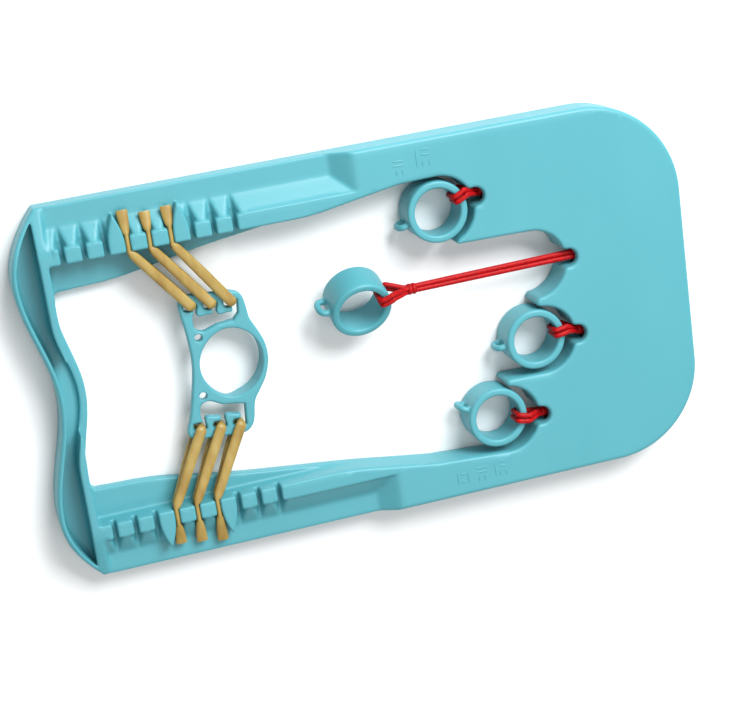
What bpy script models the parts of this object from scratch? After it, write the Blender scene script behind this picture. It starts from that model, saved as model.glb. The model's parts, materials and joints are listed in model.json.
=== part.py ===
"""Spring-board hand exerciser.

A moulded board with four finger rings on elastic loops and a thumb plate on latex bands.

The board lies on its back. +Z is its front, +X runs from the wrist bar to the closed head, +Y points at the
index-finger arm. The origin is the centre of the board's footprint on the surface it lies on.
Lengths in this file are millimetres; MM turns them into metres when a mesh is made.
"""

import math

import bmesh
import bpy
from mathutils import Matrix, Vector

MM = 0.001
GAP = 0.3

# Board: outline and levels
HALF_LENGTH = 160.0
HALF_WIDTH = 88.6
HEAD_CORNERS = {"index": 47.5, "little": 44.0}
BOARD_DEPTH = 17.4
BAND_LEVEL = 11.0
FLANGE_LEVEL = 5.7
SKIN = 2.4
EDGE_ROUND = 1.6

# Wrist bar: two wavy walls with a trough between them
CORNER_X = -144.4
BULGE_X = -160.0
BULGE_Y = 56.0
HOLLOW_X = -149.8
BULGE_POWER = 1.9
OUTER_WALL = 2.6
INNER_WALL_STRAIGHT_X = -146.6
INNER_WALL_HOLLOW_X = -139.8
INNER_WALL_BEND_Y = 36.0
TROUGH_FLOOR = 3.0
TROUGH_END_Y = 83.0
HAND_EDGE_STRAIGHT_X = -142.6
HAND_EDGE_HOLLOW_X = -136.1
HAND_EDGE_BEND_Y = 40.0

# Inner edge of each arm, from the wrist bar to the first pocket: (x, distance from the long axis)
ARM_EDGE = (
    (-140.6, 47.8),
    (-115.0, 48.9),
    (-97.0, 51.6),
    (-70.0, 56.2),
    (-22.0, 62.2),
    (2.0, 65.9),
    (22.0, 69.0),
)

# Comb on each arm
COMB_INNER_Y = 62.3
COMB_OUTER_Y = 70.0
SLOPE_FOOT_Y = 78.4
FIRST_SLOT_X = -135.8
SLOT_PITCH = 9.86
SLOT_COUNT = 9
SLOT_WIDTH = 1.3
VALLEY_FLOOR = 2.8
VALLEY_MOUTH = 9.5
SLOT_FLOOR = BAND_LEVEL + 0.05
BIG_TEETH = (2, 5)
BIG_TOOTH_TIP_Y = 80.3
BIG_TOOTH_POWER = 2.2
STEP_FOOT_X = -9.0
STEP_HEAD_X = 1.3
FLANGE_END_X = -24.0

# Pockets in the head: centre, and direction of the notch that the elastic runs into (degrees from +X)
POCKETS = {
    "index": ((39.5, 52.8), 12.0),
    "middle": ((81.5, 18.3), 0.0),
    "third": ((82.0, -19.3), -2.0),
    "little": ((59.0, -54.9), -6.0),
}
POCKET_RADIUS = 16.6
NOTCH_REACH = 22.6
NOTCH_HALF_WIDTH = 4.4
NOTCH_FILLET = 2.4
PEG_RADIUS = 3.0
PEG_REACH = {"index": 78.0, "middle": 66.0, "third": 66.0, "little": 66.0}

# Finger rings. Turn and rise give the direction of the draw into the pocket, twist is about that direction;
# handle and loop are where the handle and the elastic sit on the ring. Angles in degrees, turns from +X.
RING_CENTRE_Z = 8.9
RING_CENTRES = {
    "index": (38.3, 52.7, RING_CENTRE_Z),
    "middle": (-5.6, 17.7, 13.8),
    "third": (78.8, -18.4, RING_CENTRE_Z),
    "little": (55.0, -53.2, RING_CENTRE_Z),
}
RING_TURNS = {"index": 6.5, "middle": -0.5, "third": -2.0, "little": -6.0}
RING_RISES = {"index": 0.0, "middle": -2.5, "third": 0.0, "little": 0.0}
RING_TWISTS = {"index": 0.0, "middle": 24.0, "third": 0.0, "little": 0.0}
HANDLE_ANGLES = {"index": 196.0, "middle": 178.0, "third": 185.0, "little": 156.0}
LOOP_ANGLES = {"index": 27.0, "middle": 10.0, "third": 9.0, "little": -11.0}
RING_RADIUS = 14.7
RING_BORE = 11.1
RING_DEPTH = 16.4
RING_ROUND = 1.2
HANDLE_REACH = 4.4
HANDLE_BAR = 1.4

# Elastic loops, their sleeves and latex bands
STRAND_RADIUS = 1.0
STRAND_SPREAD = 1.25
TWIST_SHARE = 0.14
SLEEVE_LENGTH = 5.0
SLEEVE_RADIUS = 3.1
SLEEVE_SETBACK = 9.5
LATEX_HALF_WIDTH = 2.5
LATEX_HALF_THICKNESS = 0.75
LATEX_PINCH = 0.4
BAND_GAP = 0.45

# Thumb plate, in its own frame: +Y along its long side
PLATE_CENTRE = (-76.5, 1.0)
PLATE_TURN = -4.9
PLATE_BACK = 8.0
PLATE_FRONT = 12.5
COLLAR_BACK = 1.2
COLLAR_FRONT = 12.48
COLLAR_WALL = 2.3
COLLAR_STEP_X = 3.6
PLATE_END_Y = 34.6
END_BAR = 4.6
BAND_PITCH = 9.4
BAND_OFFSET = 0.4
PRONG_WIDTH = 3.2
PRONG_TIP_Y = 25.0
PRONG_TOE_REACH = 3.9
PRONG_TOE_DEPTH = 2.2


def clear_scene():
    for obj in list(bpy.data.objects):
        bpy.data.objects.remove(obj)


def make_material(name, colour, roughness):
    material = bpy.data.materials.new(name)
    material.use_nodes = True
    shader = material.node_tree.nodes["Principled BSDF"]
    shader.inputs["Base Color"].default_value = (*colour, 1.0)
    shader.inputs["Roughness"].default_value = roughness
    shader.inputs["Metallic"].default_value = 0.0
    return material


def turquoise_plastic(name):
    return make_material(name, (0.13, 0.53, 0.60), 0.28)


def red_rubber(name):
    return make_material(name, (0.62, 0.02, 0.02), 0.42)


def natural_latex(name):
    return make_material(name, (0.67, 0.46, 0.15), 0.40)


def finish(name, bm, material, smooth_angle=40.0):
    """Turns a mesh in millimetres into a named object in metres."""
    bmesh.ops.recalc_face_normals(bm, faces=bm.faces)
    bmesh.ops.scale(bm, vec=(MM, MM, MM), verts=bm.verts)
    mesh = bpy.data.meshes.new(name)
    bm.to_mesh(mesh)
    bm.free()
    mesh.shade_smooth()
    mesh.set_sharp_from_angle(angle=math.radians(smooth_angle))
    if material:
        mesh.materials.append(material)
    obj = bpy.data.objects.new(name, mesh)
    bpy.context.scene.collection.objects.link(obj)
    return obj


def as_cutter(obj):
    obj.hide_render = True
    obj.display_type = "WIRE"
    return obj


def combine(obj, other, operation):
    modifier = obj.modifiers.new(other.name, "BOOLEAN")
    modifier.operation = operation
    modifier.object = other
    modifier.solver = "EXACT"
    as_cutter(other)


def cut(obj, other):
    combine(obj, other, "DIFFERENCE")


def join(obj, other):
    combine(obj, other, "UNION")


def add_prism(bm, outline, low, high):
    """Adds an upright prism on a closed outline of (x, y) points."""
    bottom = [bm.verts.new((x, y, low)) for x, y in outline]
    top = [bm.verts.new((x, y, high)) for x, y in outline]
    bm.faces.new(bottom[::-1])
    front = bm.faces.new(top)
    count = len(outline)
    for i in range(count):
        j = (i + 1) % count
        bm.faces.new((bottom[i], bottom[j], top[j], top[i]))
    return front


def prism(name, outline, low, high, material=None, front_bevel=0.0):
    bm = bmesh.new()
    front = add_prism(bm, outline, low, high)
    if front_bevel:
        edges = list(front.edges)
        bmesh.ops.bevel(bm, geom=edges, offset=front_bevel, segments=2, profile=0.5, affect="EDGES")
    return finish(name, bm, material)


def bridge(bm, a, b, shift=0):
    """Joins two rings of vertices with quads; shift turns the second ring against the first."""
    size = len(a)
    for i in range(size):
        j = (i + 1) % size
        bm.faces.new((a[i], a[j], b[(j + shift) % size], b[(i + shift) % size]))


def closing_shift(first, last):
    """How far the last ring of a closed tube is turned against its first."""
    size = len(first)
    costs = []
    for shift in range(size):
        costs.append(sum(math.dist(last[i], first[(i + shift) % size]) for i in range(size)))
    return costs.index(min(costs))


def loft(name, sections, material=None, closed=False):
    """Skins a tube through rings of points; open tubes get flat ends."""
    bm = bmesh.new()
    rings = [[bm.verts.new(point) for point in section] for section in sections]
    for a, b in zip(rings, rings[1:]):
        bridge(bm, a, b)
    if closed:
        bridge(bm, rings[-1], rings[0], closing_shift(sections[0], sections[-1]))
    else:
        bm.faces.new(rings[0][::-1])
        bm.faces.new(rings[-1])
    return finish(name, bm, material)


def turned(name, profile, segments, material=None):
    """Turns a closed (radius, height) outline about the Z axis."""
    sections = []
    for i in range(segments):
        angle = math.tau * i / segments
        sections.append([(r * math.cos(angle), r * math.sin(angle), z) for r, z in profile])
    return loft(name, sections, material, closed=True)


def arc(centre, radius, start, end, steps):
    """Points on an arc; angles in degrees."""
    points = []
    for i in range(steps + 1):
        angle = math.radians(start + (end - start) * i / steps)
        points.append((centre[0] + radius * math.cos(angle), centre[1] + radius * math.sin(angle)))
    return points


def smooth_curve(knots, steps):
    """A smooth curve through knots, with even steps between each pair."""
    points = []
    last = len(knots) - 1
    for i in range(last):
        p0 = Vector(knots[max(i - 1, 0)])
        p1 = Vector(knots[i])
        p2 = Vector(knots[i + 1])
        p3 = Vector(knots[min(i + 2, last)])
        for k in range(steps):
            t = k / steps
            a = 2.0 * p1 + (p2 - p0) * t
            b = (2.0 * p0 - 5.0 * p1 + 4.0 * p2 - p3) * t * t
            c = (3.0 * p1 - p0 - 3.0 * p2 + p3) * t * t * t
            points.append(tuple((a + b + c) * 0.5))
    points.append(tuple(knots[-1]))
    return points


def mirrored(points):
    return [(x, -y) for x, y in points]


def ease(distance, span):
    """Rises smoothly from 0 to 1 while distance goes from 0 to span."""
    return 0.5 - 0.5 * math.cos(math.pi * min(abs(distance) / span, 1.0))


def wrist_x(y):
    """Outer outline of the wavy wrist bar."""
    reach = abs(y)
    if reach <= BULGE_Y:
        return HOLLOW_X + (BULGE_X - HOLLOW_X) * ease(reach, BULGE_Y)
    share = (reach - BULGE_Y) / (HALF_WIDTH - BULGE_Y)
    return BULGE_X + (CORNER_X - BULGE_X) * share**BULGE_POWER


def inner_wall_x(y):
    """Trough side of the bar's inner wall."""
    return INNER_WALL_HOLLOW_X + (INNER_WALL_STRAIGHT_X - INNER_WALL_HOLLOW_X) * ease(y, INNER_WALL_BEND_Y)


def hand_edge_x(y):
    """Hand side of the bar's inner wall."""
    return HAND_EDGE_HOLLOW_X + (HAND_EDGE_STRAIGHT_X - HAND_EDGE_HOLLOW_X) * ease(y, HAND_EDGE_BEND_Y)


def sweep_y(function, start, end, steps):
    points = []
    for i in range(steps + 1):
        y = start + (end - start) * i / steps
        points.append((function(y), y))
    return points


def board_outline(inset=0.0):
    """Counter-clockwise outline of the whole board."""
    edge = HALF_WIDTH - inset
    right = []
    for side, radius, start in ((-1, HEAD_CORNERS["little"], -90.0), (1, HEAD_CORNERS["index"], 0.0)):
        centre = (HALF_LENGTH - radius, side * (HALF_WIDTH - radius))
        right += arc(centre, radius - inset, start, start + 90.0, 11)
    left = sweep_y(lambda y: wrist_x(y) + inset, edge, -edge, 40)
    return right + left


def pocket_outline(key, start, end, grow=0.0):
    """Clockwise path round a pocket and its notch, between two angles on its circle."""
    centre, turn = POCKETS[key]
    radius = POCKET_RADIUS + grow
    half = NOTCH_HALF_WIDTH + grow
    fillet = max(NOTCH_FILLET - grow, 0.3)
    corner_v = half + fillet
    corner_u = math.sqrt((radius + fillet) ** 2 - corner_v**2)
    meet = math.degrees(math.atan2(corner_v, corner_u))
    tip_u = NOTCH_REACH + grow - half
    upper = arc((0.0, 0.0), radius, start - turn, meet, 10)
    upper += arc((corner_u, corner_v), fillet, meet - 180.0, -90.0, 3)
    upper += arc((tip_u, 0.0), half, 90.0, -90.0, 8)
    lower = arc((corner_u, -corner_v), fillet, 90.0, 180.0 - meet, 3)
    lower += arc((0.0, 0.0), radius, -meet, end - turn, 10)
    cos_turn = math.cos(math.radians(turn))
    sin_turn = math.sin(math.radians(turn))
    path = []
    for u, v in upper + lower:
        path.append((centre[0] + u * cos_turn - v * sin_turn, centre[1] + u * sin_turn + v * cos_turn))
    return without_repeats(path)


def without_repeats(path, closest=0.05):
    kept = []
    for point in path:
        if not kept or math.dist(point, kept[-1]) > closest:
            kept.append(point)
    if math.dist(kept[0], kept[-1]) <= closest:
        kept.pop()
    return kept


def opening_outline():
    """Clockwise outline of the hand opening and the four pockets that branch off it."""
    upper_edge = smooth_curve(ARM_EDGE, 4)
    lower_edge = mirrored(upper_edge)[::-1]
    path = upper_edge
    path += pocket_outline("index", 92.0, -64.0)
    path += [(45.4, 36.4), (46.6, 35.6)]
    path += pocket_outline("middle", 88.0, -84.0)
    path += arc((83.5, -0.5), 2.3, 100.0, 266.0, 8)
    path += pocket_outline("third", 84.0, -92.0)
    path += arc((63.2, -37.2), 1.7, 84.0, 256.0, 7)
    path += pocket_outline("little", 76.0, -92.0)
    path += lower_edge
    path += sweep_y(hand_edge_x, -45.6, 45.6, 24)
    return without_repeats(path)


def head_cavity():
    """Space under the head's front skin, open at the back."""
    wall_x = STEP_HEAD_X + SKIN
    outline = [(x, y) for x, y in board_outline(SKIN) if x > wall_x]
    outline += [(wall_x, HALF_WIDTH - SKIN), (wall_x, -(HALF_WIDTH - SKIN))]
    cavity = prism("head_cavity", outline, -1.0, BOARD_DEPTH - SKIN)
    edge = [(x, y + SKIN) for x, y in smooth_curve(ARM_EDGE, 4) if x > -25.0]
    core = [(86.0, 36.0), (86.0, -36.0), (60.0, -66.0), (40.0, -73.4)]
    core += mirrored(edge)[::-1] + edge + [(40.0, 71.6), (46.0, 36.0)]
    cut(cavity, prism("hand_opening_core", core, -2.0, BOARD_DEPTH))
    for key in POCKETS:
        core = pocket_outline(key, 179.0, -179.0, grow=SKIN + 0.35)
        cut(cavity, prism(f"pocket_core_{key}", core, -2.0, BOARD_DEPTH))
    return cavity


def arm_cavity(side):
    """Stepped space under one arm, open at the back."""
    edge = [(x, y + SKIN) for x, y in smooth_curve(ARM_EDGE, 4) if x < -2.0]
    low = edge + [(-3.0, HALF_WIDTH - SKIN), (-140.0, HALF_WIDTH - SKIN)]
    deep_y = COMB_INNER_Y + SKIN
    rim_y = HALF_WIDTH - SKIN - 0.2
    high = [(-134.0, deep_y), (-12.0, deep_y + 1.0), (-12.0, rim_y), (-134.0, rim_y)]
    if side < 0:
        low = mirrored(low)
        high = mirrored(high)
    shallow = prism(f"arm_cavity_{side}", low, -1.0, FLANGE_LEVEL - SKIN)
    join(shallow, prism(f"arm_cavity_deep_{side}", high, -1.2, BAND_LEVEL - SKIN))
    return shallow


def band_cutter(side):
    """Lowers the outer band of an arm and slopes it up to the comb and to the head."""
    top = BOARD_DEPTH + 3.0
    profile = [
        (COMB_OUTER_Y, top),
        (COMB_OUTER_Y, BOARD_DEPTH),
        (SLOPE_FOOT_Y, BAND_LEVEL),
        (HALF_WIDTH - EDGE_ROUND, BAND_LEVEL),
        (HALF_WIDTH - 0.3 * EDGE_ROUND, BAND_LEVEL - 0.4 * EDGE_ROUND),
        (HALF_WIDTH + 0.5, BAND_LEVEL - 1.3 * EDGE_ROUND),
        (HALF_WIDTH + 3.0, BAND_LEVEL - 1.3 * EDGE_ROUND),
        (HALF_WIDTH + 3.0, top),
    ]
    run = (STEP_HEAD_X - STEP_FOOT_X) / (BOARD_DEPTH - BAND_LEVEL)
    wrist = [(HAND_EDGE_STRAIGHT_X - 0.35 * (z - BAND_LEVEL), side * y, z) for y, z in profile]
    head = [(STEP_FOOT_X + run * (z - BAND_LEVEL), side * y, z) for y, z in profile]
    return loft(f"band_cutter_{side}", [wrist, head])


def flange_cutter(side):
    """Lowers the flange between the comb and the hand opening."""
    top = BOARD_DEPTH + 2.0
    profile = [
        (40.0, top),
        (40.0, FLANGE_LEVEL),
        (COMB_INNER_Y - 1.5, FLANGE_LEVEL),
        (COMB_INNER_Y - 0.4, FLANGE_LEVEL + 0.5),
        (COMB_INNER_Y, FLANGE_LEVEL + 1.8),
        (COMB_INNER_Y, top),
    ]
    wrist = [(HAND_EDGE_STRAIGHT_X - 0.15 * (z - FLANGE_LEVEL), side * y, z) for y, z in profile]
    head = [(FLANGE_END_X, side * y, z) for y, z in profile]
    return loft(f"flange_cutter_{side}", [wrist, head])


def trough_cutter():
    """Open channel between the two walls of the wrist bar."""
    end = TROUGH_END_Y
    outer = sweep_y(lambda y: wrist_x(y) + OUTER_WALL, end, -end, 36)
    inner = sweep_y(inner_wall_x, -end, end, 30)
    return prism("trough_cutter", outer + inner, TROUGH_FLOOR, BOARD_DEPTH + 4.0)


def corner_cutter(side):
    """Slopes both bar walls down to the band's level at a corner of the board."""
    top = BOARD_DEPTH + 5.0
    outer = HALF_WIDTH + 2.0
    profile = [(68.0, top), (68.0, BOARD_DEPTH + 0.01), (outer, BAND_LEVEL - 0.7), (outer, top)]
    wrist = [(BULGE_X - 6.0, side * y, z) for y, z in profile]
    arm = [(HAND_EDGE_STRAIGHT_X - 0.1, side * y, z) for y, z in profile]
    return loft(f"corner_cutter_{side}", [wrist, arm])


def slot_x(index):
    return FIRST_SLOT_X + SLOT_PITCH * index


def slot_cutter(side):
    """Nine narrow slots straight through the comb."""
    bm = bmesh.new()
    half = SLOT_WIDTH / 2.0
    for index in range(SLOT_COUNT):
        x = slot_x(index)
        near = side * (COMB_INNER_Y - 1.0)
        far = side * (COMB_OUTER_Y + 0.6)
        outline = [(x - half, near), (x + half, near), (x + half, far), (x - half, far)]
        add_prism(bm, outline, SLOT_FLOOR, BOARD_DEPTH + 1.0)
    return finish(f"slot_cutter_{side}", bm, None)


def valley_cutter(side):
    """Valley behind each slot: narrow at its floor, as wide as the pitch at the comb's front."""
    top = BOARD_DEPTH + 1.0
    profile = [
        (VALLEY_FLOOR / 2.0, SLOT_FLOOR),
        (VALLEY_MOUTH / 2.0, BOARD_DEPTH),
        (VALLEY_MOUTH / 2.0, top),
        (-VALLEY_MOUTH / 2.0, top),
        (-VALLEY_MOUTH / 2.0, BOARD_DEPTH),
        (-VALLEY_FLOOR / 2.0, SLOT_FLOOR),
    ]
    bm = bmesh.new()
    for index in range(SLOT_COUNT):
        x = slot_x(index)
        near = [bm.verts.new((x + across, side * COMB_OUTER_Y, z)) for across, z in profile]
        far = [bm.verts.new((x + across, side * (SLOPE_FOOT_Y + 1.2), z)) for across, z in profile]
        bridge(bm, near, far)
        bm.faces.new(near[::-1])
        bm.faces.new(far)
    return finish(f"valley_cutter_{side}", bm, None)


def big_teeth(side):
    """Two long pointed teeth that reach out over the slope."""
    bm = bmesh.new()
    half = (SLOT_PITCH - SLOT_WIDTH) / 2.0
    reach = BIG_TOOTH_TIP_Y - COMB_OUTER_Y + 3.0
    for index in BIG_TEETH:
        x = slot_x(index) + SLOT_PITCH / 2.0
        right = []
        for k in range(8):
            y = COMB_OUTER_Y - 3.0 + reach * k / 8.0
            share = (y - COMB_INNER_Y) / (BIG_TOOTH_TIP_Y - COMB_INNER_Y)
            right.append((x + (half - 0.02) * (1.0 - share**BIG_TOOTH_POWER), side * y))
        left = [(2.0 * x - px, py) for px, py in right[::-1]]
        outline = right + [(x, side * BIG_TOOTH_TIP_Y)] + left
        add_prism(bm, outline if side > 0 else outline[::-1], BAND_LEVEL - 1.0, BOARD_DEPTH - 0.01)
    return finish(f"big_teeth_{side}", bm, None)


def along_notch(key, reach):
    centre, turn = POCKETS[key]
    angle = math.radians(turn)
    return (centre[0] + reach * math.cos(angle), centre[1] + reach * math.sin(angle))


def peg(key):
    """Post under the head's skin that one elastic loop is hooked over."""
    lip = PEG_RADIUS + 1.2
    profile = [(lip, 3.0), (lip, 4.4), (PEG_RADIUS, 5.2), (PEG_RADIUS, BOARD_DEPTH - 1.0)]
    x, y = along_notch(key, PEG_REACH[key])
    sections = []
    for radius, z in profile:
        circle = arc((x, y), radius, 0.0, 337.5, 15)
        sections.append([(px, py, z) for px, py in circle])
    return loft(f"peg_{key}", sections)


def notch_window(key):
    """Hole in the end wall of a notch, where the elastic enters the head."""
    centre, turn = POCKETS[key]
    bm = bmesh.new()
    size = (9.0, 2.0 * SLEEVE_RADIUS + 2.2, 2.0 * SLEEVE_RADIUS + 2.0)
    bmesh.ops.create_cube(bm, size=1.0)
    bmesh.ops.scale(bm, vec=size, verts=bm.verts)
    x, y = along_notch(key, NOTCH_REACH + 1.2)
    place = Matrix.Translation((x, y, RING_CENTRE_Z)) @ Matrix.Rotation(math.radians(turn), 4, "Z")
    bmesh.ops.transform(bm, matrix=place, verts=bm.verts)
    return finish(f"notch_window_{key}", bm, None)


def board(material):
    frame = prism("frame", board_outline(), 0.0, BOARD_DEPTH, material, front_bevel=EDGE_ROUND)
    cut(frame, prism("opening_cutter", opening_outline(), -3.0, BOARD_DEPTH + 3.0))
    cut(frame, head_cavity())
    for side in (1, -1):
        cut(frame, arm_cavity(side))
        cut(frame, band_cutter(side))
        cut(frame, flange_cutter(side))
        cut(frame, corner_cutter(side))
        cut(frame, valley_cutter(side))
        join(frame, big_teeth(side))
        cut(frame, slot_cutter(side))
    cut(frame, trough_cutter())
    for key in POCKETS:
        join(frame, peg(key))
        cut(frame, notch_window(key))
    return frame


def slide_axis(key):
    """Unit vector along which a ring is drawn into its pocket."""
    turn = math.radians(RING_TURNS[key])
    rise = math.radians(RING_RISES[key])
    return Vector((math.cos(turn) * math.cos(rise), math.sin(turn) * math.cos(rise), math.sin(rise)))


def ring_matrix(key):
    """Placement of a ring, in millimetres: its X axis is the slide axis, turned by the ring's twist."""
    u = slide_axis(key)
    v = Vector((0.0, 0.0, 1.0)).cross(u).normalized()
    w = u.cross(v)
    basis = Matrix((u, v, w)).transposed().to_4x4()
    twist = Matrix.Rotation(math.radians(RING_TWISTS[key]), 4, "X")
    return Matrix.Translation(RING_CENTRES[key]) @ basis @ twist


def place(obj, matrix):
    """Puts an object where a matrix in millimetres says."""
    rotation = matrix.to_3x3().to_4x4()
    obj.matrix_world = Matrix.Translation(matrix.translation * MM) @ rotation


def local_angle(key, angle):
    """Angle on a ring measured from its own X axis."""
    u = slide_axis(key)
    return math.radians(angle) - math.atan2(u.y, u.x)


def finger_ring(key, material):
    """Short rounded tube with a small handle on its outside."""
    half = RING_DEPTH / 2.0
    bevel = RING_ROUND
    profile = [
        (RING_BORE, half - bevel),
        (RING_BORE, bevel - half),
        (RING_BORE + 0.45 * bevel, 0.3 * bevel - half),
        (RING_BORE + bevel, -half),
        (RING_RADIUS - bevel, -half),
        (RING_RADIUS - 0.3 * bevel, 0.3 * bevel - half),
        (RING_RADIUS, bevel - half),
        (RING_RADIUS, half - bevel),
        (RING_RADIUS - 0.3 * bevel, half - 0.3 * bevel),
        (RING_RADIUS - bevel, half),
        (RING_BORE + bevel, half),
        (RING_BORE + 0.45 * bevel, half - 0.3 * bevel),
    ]
    ring = turned(f"ring_{key}", profile, 28, material)
    angle = local_angle(key, HANDLE_ANGLES[key])
    out = Vector((math.cos(angle), math.sin(angle), 0.0))
    across = Vector((-out.y, out.x, 0.0))
    root = RING_RADIUS - 1.2
    rise = half - 1.6
    path = [
        out * root + Vector((0.0, 0.0, rise)),
        out * (RING_RADIUS + 0.62 * HANDLE_REACH) + Vector((0.0, 0.0, rise * 0.95)),
        out * (RING_RADIUS + 0.92 * HANDLE_REACH) + Vector((0.0, 0.0, rise * 0.6)),
        out * (RING_RADIUS + HANDLE_REACH) + Vector((0.0, 0.0, 0.0)),
        out * (RING_RADIUS + 0.92 * HANDLE_REACH) - Vector((0.0, 0.0, rise * 0.6)),
        out * (RING_RADIUS + 0.62 * HANDLE_REACH) - Vector((0.0, 0.0, rise * 0.95)),
        out * root - Vector((0.0, 0.0, rise)),
    ]
    handle = loft(f"handle_{key}", tube_sections(path, across, HANDLE_BAR + 0.3, HANDLE_BAR))
    join(ring, handle)
    place(ring, ring_matrix(key))
    place(handle, ring_matrix(key))
    return ring


def tube_sections(path, across, half_across, half_through, sides=8, closed=False):
    """Rounded sections along a path that keep one axis along 'across' (a vector, or one for each point)."""
    sections = []
    count = len(path)
    for i, point in enumerate(path):
        before = path[i - 1] if (closed or i > 0) else path[0]
        after = path[(i + 1) % count] if (closed or i < count - 1) else path[-1]
        tangent = (Vector(after) - Vector(before)).normalized()
        wide = Vector(across[i]) if isinstance(across, list) else Vector(across)
        wide = (wide - tangent * wide.dot(tangent)).normalized()
        through = tangent.cross(wide)
        a = half_across[i] if isinstance(half_across, list) else half_across
        b = half_through[i] if isinstance(half_through, list) else half_through
        section = []
        for k in range(sides):
            angle = math.tau * (k + 0.5) / sides
            section.append(Vector(point) + wide * (a * math.cos(angle)) + through * (b * math.sin(angle)))
        sections.append(section)
    return sections


def elastic_axes(key):
    """Points on the elastic's run: ring wall, sleeve, notch window and peg."""
    matrix = ring_matrix(key)
    angle = local_angle(key, LOOP_ANGLES[key])
    mid_wall = (RING_RADIUS + RING_BORE) / 2.0
    wall = matrix @ Vector((mid_wall * math.cos(angle), mid_wall * math.sin(angle), 0.0))
    window = Vector((*along_notch(key, NOTCH_REACH), RING_CENTRE_Z))
    peg_point = Vector((*along_notch(key, PEG_REACH[key]), RING_CENTRE_Z))
    toward = (window - wall).normalized()
    sleeve = wall + toward * (SLEEVE_SETBACK + (RING_RADIUS - RING_BORE) / 2.0)
    return wall, sleeve, window, peg_point, toward


def wrap_corners(centre, outward, up, half_across, half_up, clearance):
    """Path round three sides of a rectangle, from its outer lower corner to its outer upper one."""
    corners = (
        (1, -1, (-45.0, -90.0)),
        (-1, -1, (-90.0, -135.0, -180.0)),
        (-1, 1, (-180.0, -225.0, -270.0)),
        (1, 1, (-270.0, -315.0)),
    )
    points = []
    for side, level, angles in corners:
        corner = centre + outward * (side * half_across) + up * (level * half_up)
        for degrees in angles:
            angle = math.radians(degrees)
            points.append(corner + (outward * math.cos(angle) + up * math.sin(angle)) * clearance)
    return points


def elastic_path(key):
    """Closed centre line: round the peg, through the sleeve, and round the ring's wall."""
    wall, sleeve, window, peg_point, toward = elastic_axes(key)
    up = ring_matrix(key).to_3x3() @ Vector((0.0, 0.0, 1.0))
    far = sleeve + toward * (SLEEVE_LENGTH + 1.0)
    peg_hold = PEG_RADIUS + GAP + STRAND_RADIUS
    notch_side = Vector((0.0, 0.0, 1.0)).cross((peg_point - window).normalized())
    upper = []
    lower = []
    for share in (0.0, TWIST_SHARE, 0.4, 0.7, 1.0):
        spread = STRAND_SPREAD + (peg_hold - STRAND_SPREAD) * share**3
        twist = min(share / TWIST_SHARE, 1.0)
        direction = (up * (1.0 - twist) + notch_side * twist).normalized()
        upper.append(far.lerp(peg_point, share) + direction * spread)
        lower.insert(0, far.lerp(peg_point, share) - direction * spread)
    run = (peg_point - window).normalized()
    turn = []
    for angle in (-60.0, -30.0, 0.0, 30.0, 60.0):
        a = math.radians(angle)
        turn.append(peg_point + run * (peg_hold * math.cos(a)) - notch_side * (peg_hold * math.sin(a)))
    start = sleeve - toward * 1.0
    half_wall = (RING_RADIUS - RING_BORE) / 2.0
    outward = (wall - Vector(RING_CENTRES[key])).normalized()
    around_wall = wrap_corners(wall, outward, up, half_wall, RING_DEPTH / 2.0, GAP + STRAND_RADIUS)
    loop = [start - up * STRAND_SPREAD, start.lerp(around_wall[0], 0.6) - up * 0.6]
    loop += around_wall
    loop += [start.lerp(around_wall[-1], 0.6) + up * 0.6, start + up * STRAND_SPREAD]
    return upper + turn + lower + loop


def elastic(key, material):
    """One endless red loop, sprung between the peg and the ring."""
    path = elastic_path(key)
    count = len(path)
    across = (path[1] - path[-1]).cross(Vector((0.0, 0.0, 1.0))).normalized()
    wides = []
    for i in range(count):
        tangent = (path[(i + 1) % count] - path[i - 1]).normalized()
        across = (across - tangent * across.dot(tangent)).normalized()
        wides.append(across.copy())
    sections = tube_sections(path, wides, STRAND_RADIUS, STRAND_RADIUS, closed=True)
    return loft(f"elastic_{key}", sections, material, closed=True)


def sleeve(key, material):
    """Short crimped sleeve that holds both strands together."""
    inner = STRAND_SPREAD + STRAND_RADIUS + 0.25
    outer = SLEEVE_RADIUS
    end = SLEEVE_LENGTH / 2.0
    profile = [(inner, end), (inner, -end), (outer - 0.4, -end), (outer, 0.5 - end)]
    profile += [(outer, end - 0.5), (outer - 0.4, end)]
    part = turned(f"sleeve_{key}", profile, 18, material)
    wall, start, window, peg_point, toward = elastic_axes(key)
    centre = start + toward * end
    v = Vector((0.0, 0.0, 1.0)).cross(toward).normalized()
    w = toward.cross(v)
    basis = Matrix((w, v, -toward)).transposed().to_4x4()
    place(part, Matrix.Translation(centre) @ basis)
    return part


def plate_matrix():
    turn = Matrix.Rotation(math.radians(PLATE_TURN), 4, "Z")
    return Matrix.Translation((*PLATE_CENTRE, 0.0)) @ turn


def plate_outline():
    """Outline of the thumb plate in its own frame, counter-clockwise."""
    right = [(10.5, -PLATE_END_Y), (14.0, -33.2), (16.2, -30.6), (17.2, -27.0), (18.0, -19.5)]
    right += [(20.6, -14.5), (23.6, -9.0), (25.2, -3.0), (25.6, 2.0), (24.4, 8.5), (21.6, 14.5)]
    right += [(18.2, 20.5), (16.9, 26.5), (15.6, 31.0), (13.6, 33.4), (10.0, PLATE_END_Y)]
    left = [(-10.5, PLATE_END_Y), (-13.4, 33.2), (-14.5, 30.5), (-13.9, 26.0), (-11.8, 16.0)]
    left += [(-10.4, 6.0), (-10.3, -3.0), (-11.6, -14.0), (-13.2, -24.0), (-14.8, -30.0)]
    left += [(-13.9, -33.2), (-11.0, -PLATE_END_Y)]
    return without_repeats(smooth_curve(right, 2) + smooth_curve(left, 2))


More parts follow.
